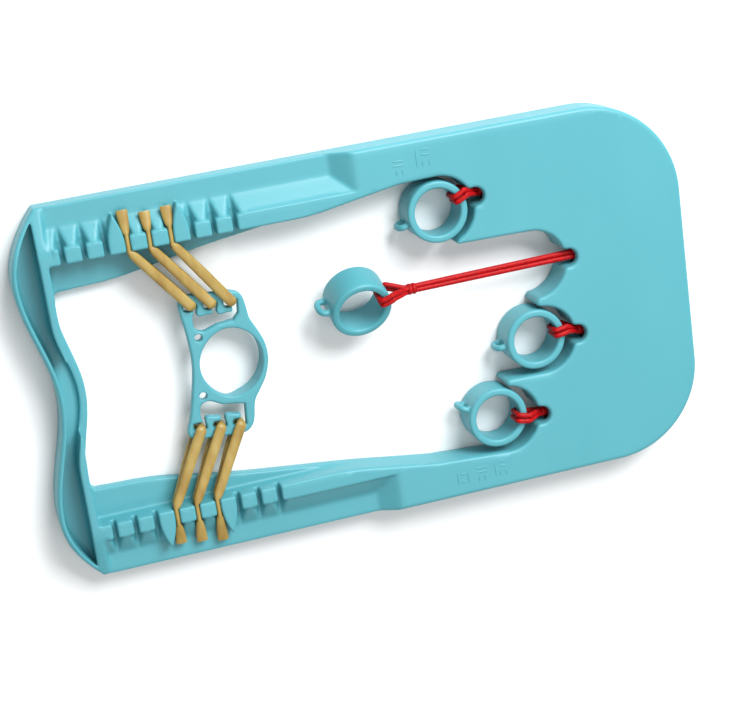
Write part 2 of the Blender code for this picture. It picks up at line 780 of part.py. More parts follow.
def thumb_outline(grow=0.0):
    """Rounded thumb hole, counter-clockwise from its right-hand side."""
    points = []
    steps = 32
    for i in range(steps):
        angle = math.tau * i / steps
        x = 8.2 + (14.9 + grow) * math.cos(angle)
        flatten = 1.0 - 0.10 * max(-math.cos(angle), 0.0) ** 2
        y = 0.6 + (16.4 + grow) * math.sin(angle) * flatten
        points.append((x, y))
    return points


def plate_window(side):
    """Window at one end of the plate, with a shoulder beside the first band."""
    knots = [(-8.3, 23.5), (-8.0, 19.6), (-6.4, 17.5), (-3.6, 16.9), (-0.6, 18.0), (2.6, 19.3)]
    inner = smooth_curve(knots, 2)
    bar = PLATE_END_Y - END_BAR
    outer = [(9.0, 19.6), (12.9, 20.2), (12.9, bar), (-12.0, bar), (-12.0, 27.2), (-7.4, 26.6)]
    return [(x, side * y) for x, y in inner + outer]


def thumb_collar():
    """Wall round the thumb hole: deep on the fingertip side, and level with the plate's back on the other."""
    collar = prism("collar", thumb_outline(COLLAR_WALL), COLLAR_BACK, COLLAR_FRONT)
    shallow = PLATE_BACK - 0.4
    slant_end = COLLAR_STEP_X + 8.0
    profile = [(-30.0, -5.0), (-30.0, shallow), (COLLAR_STEP_X, shallow)]
    profile += [(slant_end, COLLAR_BACK - 0.4), (slant_end, -5.0)]
    bm = bmesh.new()
    near = [bm.verts.new((x, -30.0, z)) for x, z in profile]
    far = [bm.verts.new((x, 30.0, z)) for x, z in profile]
    bm.faces.new(near)
    bm.faces.new(far[::-1])
    bridge(bm, near, far)
    bmesh.ops.recalc_face_normals(bm, faces=bm.faces)
    wedge = finish("collar_wedge", bm, None)
    cut(collar, wedge)
    return collar, wedge


def prong(side, index):
    """One hook between two bands: a stem from the end bar, with a toe along its end."""
    left = BAND_OFFSET + BAND_PITCH * (index - 0.5) - PRONG_WIDTH / 2.0
    right = left + PRONG_WIDTH
    toe = right + PRONG_TOE_REACH
    toe_y = PRONG_TIP_Y + PRONG_TOE_DEPTH
    root_y = PLATE_END_Y - 1.0
    outline = [(right, root_y), (right, toe_y), (toe - 0.2, toe_y), (toe, toe_y - 0.8)]
    outline += [(toe - 1.0, PRONG_TIP_Y), (left + 1.0, PRONG_TIP_Y)]
    outline += [(left, PRONG_TIP_Y + 1.0), (left, root_y)]
    outline = [(x, side * y) for x, y in outline]
    return prism(f"prong_{side}_{index}", outline, PLATE_BACK + 0.02, PLATE_FRONT - 0.02)


def thumb_plate(material):
    """Plate with a collared thumb hole and two bars for the latex bands."""
    plate = prism("thumb_plate", plate_outline(), PLATE_BACK, PLATE_FRONT, material)
    collar, wedge = thumb_collar()
    join(plate, collar)
    parts = [collar, wedge]
    for side in (1, -1):
        window = prism(f"plate_window_{side}", plate_window(side), PLATE_BACK - 1.0, PLATE_FRONT + 1.0)
        cut(plate, window)
        parts.append(window)
    hole = prism("thumb_hole", thumb_outline(), -2.0, COLLAR_FRONT + 2.0)
    cut(plate, hole)
    parts.append(hole)
    for side in (1, -1):
        for index in range(2):
            hook = prong(side, index)
            join(plate, hook)
            parts.append(hook)
        bm = bmesh.new()
        add_prism(bm, arc((-6.4, side * 14.0), 1.8, 0.0, 337.5, 15), PLATE_BACK - 1.0, PLATE_FRONT + 1.0)
        eyelet = finish(f"eyelet_{side}", bm, None)
        cut(plate, eyelet)
        parts.append(eyelet)
    for part in [plate] + parts:
        place(part, plate_matrix())
    return plate


def latex_band(side, index, material):
    """One strap: two tails on the outer slope, pinched in a slot, folded round the plate's end bar."""
    bar_y = PLATE_END_Y - END_BAR
    x = BAND_OFFSET + BAND_PITCH * (index - 1)
    matrix = plate_matrix()
    bar_edge = matrix @ Vector((x, side * bar_y, 0.0))
    over = matrix @ Vector((x, side * (PLATE_END_Y + 0.6), 0.0))
    slot = Vector((slot_x(3 + index), side * (COMB_INNER_Y - 0.6), 0.0))
    slot_out = Vector((slot_x(3 + index), side * (COMB_OUTER_Y + 0.4), 0.0))
    clearance = BAND_GAP + LATEX_HALF_THICKNESS
    front = PLATE_FRONT + clearance
    back = PLATE_BACK - clearance
    heights = (SLOT_FLOOR + 4.45, SLOT_FLOOR + 1.55)
    stations = []

    def add(point, z, half_width, half_thickness):
        stations.append((Vector((point.x, point.y, z)), half_width, half_thickness))

    def strand(z_slot, z_bar, tail_z):
        """Stations from the tail's end to the bar."""
        run = []
        tail_end = slot_out + Vector((0.0, side * 9.6, 0.0))
        run.append((tail_end, tail_z - 0.3, 2.55, 0.6))
        run.append((slot_out + Vector((0.0, side * 6.6, 0.0)), tail_z, 2.3, 0.62))
        run.append((slot_out + Vector((0.0, side * 3.4, 0.0)), tail_z + 0.5, 1.3, 0.8))
        run.append((slot_out, z_slot, LATEX_PINCH, 1.25))
        run.append((slot_out.lerp(slot, 0.5), z_slot, LATEX_PINCH, 1.25))
        run.append((slot, z_slot, LATEX_PINCH, 1.25))
        run.append((slot.lerp(over, 0.14), z_slot + (z_bar - z_slot) * 0.14, 1.5, 1.0))
        run.append((slot.lerp(over, 0.32), z_slot + (z_bar - z_slot) * 0.35, 2.4, 0.75))
        z_span = z_slot + (z_bar - z_slot) * 0.75
        run.append((slot.lerp(over, 0.65), z_span, LATEX_HALF_WIDTH, LATEX_HALF_THICKNESS))
        run.append((over, z_bar, LATEX_HALF_WIDTH, LATEX_HALF_THICKNESS))
        return run

    for point, z, a, b in strand(heights[0], front, SLOT_FLOOR + 3.9):
        add(point, z, a, b)
    inward = (matrix.to_3x3() @ Vector((0.0, -side, 0.0))).normalized()
    for level, angles in ((PLATE_FRONT, (90.0, 45.0, 0.0)), (PLATE_BACK, (0.0, -45.0, -90.0))):
        for angle in angles:
            c = math.cos(math.radians(angle))
            d = math.sin(math.radians(angle))
            point = bar_edge + inward * (clearance * c)
            add(point, level + clearance * d, LATEX_HALF_WIDTH, LATEX_HALF_THICKNESS)
    for point, z, a, b in strand(heights[1], back, SLOT_FLOOR + 2.2)[::-1]:
        add(point, z, a, b)
    path = [point for point, a, b in stations]
    wides = []
    for i in range(len(path)):
        if (path[i] - over).xy.length < END_BAR + 3.0:
            wides.append(side * (matrix.to_3x3() @ Vector((1.0, 0.0, 0.0))))
        else:
            wides.append(Vector((side, 0.0, 0.0)))
    widths = [a for point, a, b in stations]
    thicknesses = [b for point, a, b in stations]
    sections = tube_sections(path, wides, widths, thicknesses)
    arm = "index_side" if side > 0 else "little_side"
    return loft(f"latex_band_{arm}_{index + 1}", sections, material)


def main():
    clear_scene()
    board(turquoise_plastic("board_plastic"))
    thumb_plate(turquoise_plastic("plate_plastic"))
    for key in POCKETS:
        finger_ring(key, turquoise_plastic(f"ring_plastic_{key}"))
        elastic(key, red_rubber(f"elastic_rubber_{key}"))
        sleeve(key, red_rubber(f"sleeve_rubber_{key}"))
    for side in (1, -1):
        for index in range(3):
            latex_band(side, index, natural_latex(f"latex_{side}_{index}"))


main()
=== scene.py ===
"""Looks of the hand exerciser: moulded board, finger rings, thumb plate, red elastics and latex straps.

Lengths in this file are millimetres in the CAD model's frame; MM turns them into metres when a mesh is made.
Moulded parts are built as signed distance fields, so every edge and corner gets the radius of a real
moulding.
"""

import json
import math

import bmesh
import bpy
import numpy as np
import openvdb
from mathutils import Matrix, Vector


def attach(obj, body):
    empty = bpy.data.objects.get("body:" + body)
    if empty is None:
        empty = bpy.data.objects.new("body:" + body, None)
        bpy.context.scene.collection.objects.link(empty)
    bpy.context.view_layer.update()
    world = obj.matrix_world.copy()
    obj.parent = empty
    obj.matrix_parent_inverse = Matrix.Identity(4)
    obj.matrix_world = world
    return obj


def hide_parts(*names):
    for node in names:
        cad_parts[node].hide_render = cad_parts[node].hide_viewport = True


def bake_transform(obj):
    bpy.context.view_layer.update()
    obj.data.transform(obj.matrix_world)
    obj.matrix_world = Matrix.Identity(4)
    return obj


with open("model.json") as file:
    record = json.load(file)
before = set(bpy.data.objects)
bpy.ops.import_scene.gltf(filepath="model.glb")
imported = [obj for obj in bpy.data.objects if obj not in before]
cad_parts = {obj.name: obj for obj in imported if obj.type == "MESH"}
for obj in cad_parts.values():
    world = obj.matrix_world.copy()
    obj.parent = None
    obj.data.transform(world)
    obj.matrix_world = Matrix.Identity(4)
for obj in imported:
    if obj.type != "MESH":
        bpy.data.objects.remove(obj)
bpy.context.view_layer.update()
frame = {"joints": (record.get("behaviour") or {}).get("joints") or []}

MM = 0.001
FIELD_STEP = 0.55
SMALL_FIELD_STEP = 0.34

# Board: outline and levels
HALF_LENGTH = 160.0
HALF_WIDTH = 88.6
HEAD_CORNERS = {"index": 47.5, "little": 44.0}
BOARD_DEPTH = 17.4
BAND_LEVEL = 11.0
FLANGE_LEVEL = 5.7
SKIN = 2.4
FRONT_ROUND = 2.2
POCKET_ROUND = 1.5
REAR_ROUND = 0.5

# Wrist bar
CORNER_X = -144.4
BULGE_X = -160.0
BULGE_Y = 56.0
HOLLOW_X = -149.8
BULGE_POWER = 1.9
OUTER_WALL = 2.6
INNER_WALL_STRAIGHT_X = -146.6
INNER_WALL_HOLLOW_X = -139.8
INNER_WALL_BEND_Y = 36.0
TROUGH_FLOOR = 3.0
TROUGH_END_Y = 83.0
HAND_EDGE_STRAIGHT_X = -142.6
HAND_EDGE_HOLLOW_X = -136.1
HAND_EDGE_BEND_Y = 40.0

# Arms and combs
ARM_EDGE = (
    (-140.6, 47.8),
    (-115.0, 48.9),
    (-97.0, 51.6),
    (-70.0, 56.2),
    (-22.0, 62.2),
    (2.0, 65.9),
    (22.0, 69.0),
)
COMB_INNER_Y = 62.3
COMB_OUTER_Y = 70.0
SLOPE_FOOT_Y = 78.4
FIRST_SLOT_X = -135.8
SLOT_PITCH = 9.86
SLOT_COUNT = 9
SLOT_WIDTH = 1.9
TOOTH_ROUND = 1.25
RIDGE_LEVEL = BOARD_DEPTH - 0.7
SLOT_FLOOR = BAND_LEVEL + 0.05
VALLEY_FLOOR = 1.2
VALLEY_MOUTH = 7.4
BIG_TEETH = (2, 5)
BIG_TOOTH_TIP_Y = 80.3
BIG_TOOTH_POWER = 2.5
STEP_FOOT_X = -9.0
STEP_HEAD_X = 1.3
FLANGE_END_X = -18.0

# Pockets: centre and direction of the notch
POCKETS = {
    "index": ((39.5, 52.8), 12.0),
    "middle": ((81.5, 18.3), 0.0),
    "third": ((82.0, -19.3), -2.0),
    "little": ((59.0, -54.9), -6.0),
}
POCKET_RADIUS = 16.6
NOTCH_REACH = 22.6
NOTCH_HALF_WIDTH = 4.4
NOTCH_FILLET = 2.4
PEG_RADIUS = 3.0
PEG_REACH = {"index": 78.0, "middle": 66.0, "third": 66.0, "little": 66.0}
RING_LEVEL = 8.9

# Raised marks on the head: (x, y, size)
MARK_PLACES = (
    (22.5, 77.2, 1.05),
    (34.0, 79.6, 1.25),
    (33.5, -79.2, 1.1),
    (43.0, -78.8, 1.1),
    (52.5, -78.4, 1.1),
)

# Rings, elastics and straps
RING_RADIUS = 14.7
RING_BORE = 11.1
RING_DEPTH = 16.4
RING_ROUND = 1.25
HANDLE_REACH = 4.4
HANDLE_BAR = 1.5
HANDLE_ANGLES = {"index": 196.0, "middle": 178.0, "third": 185.0, "little": 156.0}
LOOP_ANGLES = {"index": 27.0, "middle": 20.0, "third": 9.0, "little": -11.0}
TWISTS = {"index": 0.0, "middle": 24.0, "third": 0.0, "little": 0.0}
STRAND_RADIUS = 1.25
STRAND_SPREAD = 1.0
NOTCH_SPREAD = 1.25
LOOP_SPREAD = 1.4
HOLD_LEVEL = 4.9
HOLD_DEPTH = 6.6
SLEEVE_LENGTH = 4.3
SLEEVE_SETBACK = 9.5
SLEEVE_RADIUS = 2.7
WINDOW_HALF = 4.2

# Thumb plate, in its own frame
PLATE_CENTRE = (-76.5, 1.0)
PLATE_TURN = -4.9
PLATE_BACK = 8.0
PLATE_FRONT = 12.5
COLLAR_BACK = 1.2
COLLAR_FRONT = 11.3
COLLAR_WALL = 2.3
COLLAR_STEP_X = 3.6
PLATE_END_Y = 34.6
END_BAR = 4.6
BAND_PITCH = 9.4
BAND_OFFSET = 0.4
PRONG_WIDTH = 3.2
PRONG_TIP_Y = 24.4
PRONG_TOE_REACH = 3.9
PRONG_TOE_DEPTH = 2.7
LATEX_HALF_WIDTH = 2.5
LATEX_HALF_THICKNESS = 1.3
TAIL_LENGTHS = {1: (11.0, 8.6, 9.2), -1: (10.0, 11.2, 13.0)}
TAIL_DROP = 1.9

# Each strand where it is pinched in its slot: level above the slot's floor, half width
FRONT_PINCH = (4.65, 1.05)
REAR_PINCH = (1.7, 0.95)
PINCH_HALF_THICKNESS = 1.42

# Tails: (share of the tail's length from the slot, half width, half thickness)
FRONT_TAIL = (
    (1.0, 2.4, 0.8),
    (0.95, 2.65, 1.0),
    (0.5, 2.35, 1.15),
    (0.25, 2.0, 1.3),
    (0.1, 1.65, 1.35),
    (0.03, 1.35, 1.4),
)
REAR_TAIL = (
    (0.9, 2.3, 0.9),
    (0.8, 2.4, 1.0),
    (0.5, 1.9, 1.2),
    (0.25, 1.4, 1.3),
    (0.12, 1.15, 1.4),
    (0.04, 1.0, 1.5),
)

# Span: (millimetres from the slot, half width, half thickness)
STRAP_SPAN = (
    (1.0, 1.6, 1.4),
    (2.6, 2.05, 1.4),
    (6.0, 2.2, 1.4),
    (11.0, 2.3, 1.35),
    (17.0, 2.4, 1.3),
    (23.0, 2.5, 1.3),
)
BAND_GAP = 0.15

# Camera: place in metres, turn in degrees, lens and sensor in millimetres
CAMERA_PLACE = (-0.19064, 0.23961, 0.82237)
CAMERA_TURN = (-14.524, -15.279, -8.254)
CAMERA_LENS = 89.55
SENSOR_WIDTH = 36.0


# ---------------------------------------------------------------- curves in the plane


def arc(centre, radius, start, end, steps):
    """Points on an arc; angles in degrees."""
    points = []
    for i in range(steps + 1):
        angle = math.radians(start + (end - start) * i / steps)
        points.append((centre[0] + radius * math.cos(angle), centre[1] + radius * math.sin(angle)))
    return points


def smooth_curve(knots, steps):
    """A smooth curve through knots, with even steps between each pair."""
    points = []
    last = len(knots) - 1
    for i in range(last):
        p0 = Vector(knots[max(i - 1, 0)])
        p1 = Vector(knots[i])
        p2 = Vector(knots[i + 1])
        p3 = Vector(knots[min(i + 2, last)])
        for k in range(steps):
            t = k / steps
            a = 2.0 * p1 + (p2 - p0) * t
            b = (2.0 * p0 - 5.0 * p1 + 4.0 * p2 - p3) * t * t
            c = (3.0 * p1 - p0 - 3.0 * p2 + p3) * t * t * t
            points.append(tuple((a + b + c) * 0.5))
    points.append(tuple(knots[-1]))
    return points


def without_repeats(path, closest=0.05):
    kept = []
    for point in path:
        if not kept or math.dist(point, kept[-1]) > closest:
            kept.append(point)
    if math.dist(kept[0], kept[-1]) <= closest:
        kept.pop()
    return kept


def mirrored(points):
    return [(x, -y) for x, y in points]


def ease(distance, span):
    """Rises smoothly from 0 to 1 while distance goes from 0 to span."""
    return 0.5 - 0.5 * math.cos(math.pi * min(abs(distance) / span, 1.0))


def sweep_y(function, start, end, steps):
    points = []
    for i in range(steps + 1):
        y = start + (end - start) * i / steps
        points.append((function(y), y))
    return points


def wrist_x(y):
    """Outer outline of the wavy wrist bar."""
    reach = abs(y)
    if reach <= BULGE_Y:
        return HOLLOW_X + (BULGE_X - HOLLOW_X) * ease(reach, BULGE_Y)
    share = (reach - BULGE_Y) / (HALF_WIDTH - BULGE_Y)
    return BULGE_X + (CORNER_X - BULGE_X) * share**BULGE_POWER


def inner_wall_x(y):
    """Trough side of the bar's inner wall."""
    return INNER_WALL_HOLLOW_X + (INNER_WALL_STRAIGHT_X - INNER_WALL_HOLLOW_X) * ease(y, INNER_WALL_BEND_Y)


def hand_edge_x(y):
    """Hand side of the bar's inner wall."""
    return HAND_EDGE_HOLLOW_X + (HAND_EDGE_STRAIGHT_X - HAND_EDGE_HOLLOW_X) * ease(y, HAND_EDGE_BEND_Y)


def board_outline():
    """Counter-clockwise outline of the whole board."""
    right = []
    for side, radius, start in ((-1, HEAD_CORNERS["little"], -90.0), (1, HEAD_CORNERS["index"], 0.0)):
        centre = (HALF_LENGTH - radius, side * (HALF_WIDTH - radius))
        right += arc(centre, radius, start, start + 90.0, 30)
    return right + sweep_y(wrist_x, HALF_WIDTH, -HALF_WIDTH, 90)


def pocket_outline(key, start, end):
    """Clockwise path round a pocket and its notch, between two angles on its circle."""
    centre, turn = POCKETS[key]
    corner_v = NOTCH_HALF_WIDTH + NOTCH_FILLET
    corner_u = math.sqrt((POCKET_RADIUS + NOTCH_FILLET) ** 2 - corner_v**2)
    meet = math.degrees(math.atan2(corner_v, corner_u))
    tip_u = NOTCH_REACH - NOTCH_HALF_WIDTH
    local = arc((0.0, 0.0), POCKET_RADIUS, start - turn, meet, 24)
    local += arc((corner_u, corner_v), NOTCH_FILLET, meet - 180.0, -90.0, 8)
    local += arc((tip_u, 0.0), NOTCH_HALF_WIDTH, 90.0, -90.0, 16)
    local += arc((corner_u, -corner_v), NOTCH_FILLET, 90.0, 180.0 - meet, 8)
    local += arc((0.0, 0.0), POCKET_RADIUS, -meet, end - turn, 24)
    cos_turn = math.cos(math.radians(turn))
    sin_turn = math.sin(math.radians(turn))
    return [
        (centre[0] + u * cos_turn - v * sin_turn, centre[1] + u * sin_turn + v * cos_turn)
        for u, v in local
    ]


def opening_outline():
    """Clockwise outline of the hand opening and the four pockets that branch off it."""
    upper_edge = smooth_curve(ARM_EDGE, 8)
    path = list(upper_edge)
    path += pocket_outline("index", 92.0, -64.0)
    path += [(45.4, 36.4), (46.6, 35.6)]
    path += pocket_outline("middle", 88.0, -84.0)
    path += arc((83.5, -0.5), 2.3, 100.0, 266.0, 14)
    path += pocket_outline("third", 84.0, -92.0)
    path += arc((63.2, -37.2), 1.7, 84.0, 256.0, 12)
    path += pocket_outline("little", 76.0, -92.0)
    path += mirrored(upper_edge)[::-1]
    path += sweep_y(hand_edge_x, -45.6, 45.6, 40)
    return without_repeats(path)


def trough_outline():
    """Floor of the channel between the wrist bar's two walls."""
    outer = sweep_y(lambda y: wrist_x(y) + OUTER_WALL, TROUGH_END_Y, -TROUGH_END_Y, 60)
    return without_repeats(outer + sweep_y(inner_wall_x, -TROUGH_END_Y, TROUGH_END_Y, 60))


# ---------------------------------------------------------------- signed distance fields, negative inside


def both(a, b, radius=0.0):
    """Where both fields are solid; the edge between them is rounded to a radius."""
    if radius == 0.0:
        return np.maximum(a, b)
    corner = np.hypot(np.maximum(a + radius, 0.0), np.maximum(b + radius, 0.0))
    return np.minimum(np.maximum(a, b), -radius) + corner


def either(a, b, radius=0.0):
    """Where either field is solid; the groove between them is filled to a radius."""
    return -both(-a, -b, radius)


def without(a, b, radius=0.0):
    """The first field less the second."""
    return both(a, -b, radius)


def outline_field(outline, x, y):
    """Distance to a closed outline, negative inside."""
    nearest = np.full(np.broadcast(x, y).shape, 1e12, np.float32)
    inside = np.zeros(nearest.shape, bool)
    for (ax, ay), (bx, by) in zip(outline, outline[1:] + outline[:1]):
        ex = bx - ax
        ey = by - ay
        px = x - ax
        py = y - ay
        along = np.clip((px * ex + py * ey) / (ex * ex + ey * ey), 0.0, 1.0)
        nearest = np.minimum(nearest, (px - ex * along) ** 2 + (py - ey * along) ** 2)
        if ay != by:
            inside ^= ((ay > y) != (by > y)) & (px < ex * py / ey)
    distance = np.sqrt(nearest)
    return np.where(inside, -distance, distance)


def slope_field(low, high, across, z):
    """Field of what lies under a slope that runs from one (across, z) point to another."""
    run = high[0] - low[0]
    rise = high[1] - low[1]
    length = math.hypot(run, rise)
    sign = 1.0 if run > 0.0 else -1.0
    return sign * (run * (z - low[1]) - rise * (across - low[0])) / length


def segment_field(start, end, radius, x, y, z):
    """A bar with round ends between two points."""
    a = Vector(start)
    e = Vector(end) - a
    px = x - a.x
    py = y - a.y
    pz = z - a.z
    along = np.clip((px * e.x + py * e.y + pz * e.z) / e.length_squared, 0.0, 1.0)
    return np.sqrt((px - e.x * along) ** 2 + (py - e.y * along) ** 2 + (pz - e.z * along) ** 2) - radius


def field_axes(low, high, step):
    """Three broadcastable arrays that span a box."""
    axes = []
    for k in range(3):
        count = int(math.ceil((high[k] - low[k]) / step)) + 1
        shape = [1, 1, 1]
        shape[k] = count
        axes.append((low[k] + step * np.arange(count, dtype=np.float32)).reshape(shape))
    return axes


def sample(values, points):
    """Trilinear samples of a 3-D array at fractional indices."""
    base = np.clip(np.floor(points).astype(int), 0, np.array(values.shape) - 2)
    share = points - base
    total = np.zeros(len(points))
    for corner in np.ndindex(2, 2, 2):
        weight = np.ones(len(points))
        for k in range(3):
            weight *= share[:, k] if corner[k] else 1.0 - share[:, k]
        total += weight * values[base[:, 0] + corner[0], base[:, 1] + corner[1], base[:, 2] + corner[2]]
    return total


def mesh_from_field(name, values, low, step, matrix=None, adaptivity=0.03):
    """Skins the zero surface of a sampled field; the field's slope gives the normals."""
    grid = openvdb.FloatGrid(4.0 * step)
    grid.copyFromArray(np.clip(values, -4.0 * step, 4.0 * step).astype(np.float32))
    points, triangles, quads = grid.convertToPolygons(isovalue=0.0, adaptivity=adaptivity)
    slopes = np.gradient(values.astype(np.float32))
    normals = np.stack([sample(slope, points) for slope in slopes], axis=1)
    normals /= np.maximum(np.linalg.norm(normals, axis=1, keepdims=True), 1e-9)
    points = np.array(low) + points * step
    if matrix:
        turn = np.array(matrix.to_3x3())
        points = points @ turn.T + np.array(matrix.translation)
        normals = normals @ turn.T
    faces = [tuple(face) for face in triangles] + [tuple(face) for face in quads]
    mesh = bpy.data.meshes.new(name)
    mesh.from_pydata((points * MM).tolist(), [], faces)
    mesh.shade_smooth()
    mesh.normals_split_custom_set_from_vertices(normals.tolist())
    mesh.validate()
    obj = bpy.data.objects.new(name, mesh)
    bpy.context.scene.collection.objects.link(obj)
    return obj


# ---------------------------------------------------------------- the board


def slot_x(index):
    return FIRST_SLOT_X + SLOT_PITCH * index


def comb_fields(x, reach):
    """Distance from the nearest slot's middle, and plan fields of all the teeth and of the pointed ones."""
    nearest = np.clip(np.round((x - FIRST_SLOT_X) / SLOT_PITCH), 0, SLOT_COUNT - 1)
    off_slot = np.abs(x - FIRST_SLOT_X - SLOT_PITCH * nearest)
    teeth = both(SLOT_WIDTH / 2.0 - off_slot, reach - COMB_OUTER_Y, TOOTH_ROUND)
    half = (SLOT_PITCH - SLOT_WIDTH) / 2.0
    share = np.clip((reach - COMB_INNER_Y) / (BIG_TOOTH_TIP_Y - COMB_INNER_Y), 0.0, 1.0)
    profile = half * (1.0 - share**BIG_TOOTH_POWER)
    lean = half * BIG_TOOTH_POWER * share ** (BIG_TOOTH_POWER - 1.0) / (BIG_TOOTH_TIP_Y - COMB_INNER_Y)
    pointed = np.full(teeth.shape, 1e3, np.float32)
    for index in BIG_TEETH:
        off_tooth = np.abs(x - slot_x(index) - SLOT_PITCH / 2.0)
        tooth = both((off_tooth - profile) / np.sqrt(1.0 + lean**2), reach - BIG_TOOTH_TIP_Y)
        pointed = np.minimum(pointed, tooth)
        teeth = np.where(off_tooth < SLOT_PITCH / 2.0, tooth, teeth)
    return off_slot, teeth, pointed


def board_field(x, y, z):
    """The whole moulding: plate, opening, lowered bands and flanges, combs, trough and rear hollows."""
    reach = np.abs(y)
    outer = outline_field(board_outline(), x, y)
    opening = outline_field(opening_outline(), x, y)
    front = z - BOARD_DEPTH
    body = both(outer, front, FRONT_ROUND)
    body = both(body, both(-opening, front, POCKET_ROUND))
    body = both(body, -z, REAR_ROUND)

    off_slot, teeth, pointed = comb_fields(x, reach)
    slope = slope_field((SLOPE_FOOT_Y, BAND_LEVEL), (COMB_OUTER_Y, RIDGE_LEVEL), reach, z)
    step = slope_field((STEP_FOOT_X, BAND_LEVEL), (STEP_HEAD_X, BOARD_DEPTH), x, z)
    wrist_side = -(x - HAND_EDGE_STRAIGHT_X - 0.2) + 0.22 * (BOARD_DEPTH - z)
    band = both(-slope, BAND_LEVEL - z, 0.7)
    band = both(band, -step, 0.7)
    band = both(band, wrist_side, 1.6)
    band = both(band, both(-teeth, COMB_INNER_Y - reach), 0.3)
    body = without(body, band, 0.8)

    spread = (VALLEY_MOUTH - VALLEY_FLOOR) / 2.0 / (BOARD_DEPTH - SLOT_FLOOR)
    valley = (off_slot - VALLEY_FLOOR / 2.0 - spread * (z - SLOT_FLOOR)) / math.hypot(1.0, spread)
    valley = both(valley, SLOT_FLOOR - z, 0.8)
    valley = both(valley, both(-teeth, COMB_INNER_Y - 2.0 - reach), 0.3)
    valley = both(valley, x - slot_x(SLOT_COUNT - 1) - SLOT_PITCH / 2.0)
    valley = both(valley, both(reach - SLOPE_FOOT_Y - 0.6, slot_x(0) - SLOT_PITCH / 2.0 - x))
    body = without(body, valley, 0.9)
    pointed = both(both(pointed, COMB_INNER_Y + 3.0 - reach), BAND_LEVEL - 2.0 - z)
    body = either(body, both(pointed, front, 0.9), 0.3)
    slots = both(off_slot - SLOT_WIDTH / 2.0, reach - COMB_OUTER_Y - 1.5)
    slots = both(both(slots, COMB_INNER_Y - 2.0 - reach), SLOT_FLOOR - z, 0.4)
    body = without(body, slots, 0.6)

    flange = both(reach - COMB_INNER_Y, FLANGE_LEVEL - z, 1.6)
    flange = both(flange, HAND_EDGE_STRAIGHT_X + 0.1 - x, 1.2)
    flange = both(flange, x - FLANGE_END_X)
    body = without(body, flange, 0.9)

    corner = -slope_field((HALF_WIDTH, BAND_LEVEL), (68.0, BOARD_DEPTH), reach, z)
    corner = both(corner, x - HAND_EDGE_STRAIGHT_X - 2.4)
    body = without(body, corner, 1.2)
    trough = both(outline_field(trough_outline(), x, y), TROUGH_FLOOR - z, 1.8)
    body = without(body, trough, 0.8)
    return hollow_back(body, outer, opening, x, y, z)


def hollow_back(body, outer, opening, x, y, z):
    """Takes out the space behind the front skin, and sets the pegs in it."""
    reach = np.abs(y)
    wall = both(outer + SKIN, SKIN - opening)
    head = both(both(wall, z - (BOARD_DEPTH - SKIN), 1.0), STEP_HEAD_X + SKIN - x, 1.0)
    arm = both(wall, both(x - (STEP_HEAD_X - 4.3), -140.0 - x))
    shallow = both(both(arm, z - (FLANGE_LEVEL - SKIN), 0.6), 48.0 - reach)
    deep = both(both(arm, COMB_INNER_Y + SKIN - reach), both(x + 12.0, -134.0 - x), 1.0)
    deep = both(deep, z - (BAND_LEVEL - SKIN), 0.8)
    hollow = either(head, either(shallow, deep))
    body = without(body, hollow, 0.3)
    for key in POCKETS:
        px, py = along_notch(key, PEG_REACH[key])
        radius = np.hypot(x - px, y - py)
        lip = np.clip((5.2 - z) / 0.8, 0.0, 1.0) * 1.2
        peg = both(both(radius - PEG_RADIUS - lip, 3.0 - z, 0.4), z - (BOARD_DEPTH - 1.0))
        body = either(body, peg, 0.4)
        wx, wy = along_notch(key, NOTCH_REACH + 1.2)
        turn = math.radians(POCKETS[key][1])
        cos_turn = math.cos(turn)
        sin_turn = math.sin(turn)
        u = (x - wx) * cos_turn + (y - wy) * sin_turn
        v = (y - wy) * cos_turn - (x - wx) * sin_turn
        window = both(np.abs(v) - WINDOW_HALF, np.abs(z - RING_LEVEL) - WINDOW_HALF, 2.0)
        window = both(window, np.abs(u) - 4.5)
        body = without(body, window, 0.5)
    return body


def along_notch(key, reach):
    centre, turn = POCKETS[key]
    angle = math.radians(turn)
    return (centre[0] + reach * math.cos(angle), centre[1] + reach * math.sin(angle))


def make_board():
    low = (-HALF_LENGTH - 1.2, -HALF_WIDTH - 1.2, -1.2)
    high = (HALF_LENGTH + 1.2, HALF_WIDTH + 1.2, BOARD_DEPTH + 1.2)
    x, y, z = field_axes(low, high, FIELD_STEP)
    board = mesh_from_field("board", board_field(x, y, z), low, FIELD_STEP)
    board.data.materials.append(MATERIALS["plastic"])
    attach(board, "board")
    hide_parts("frame")


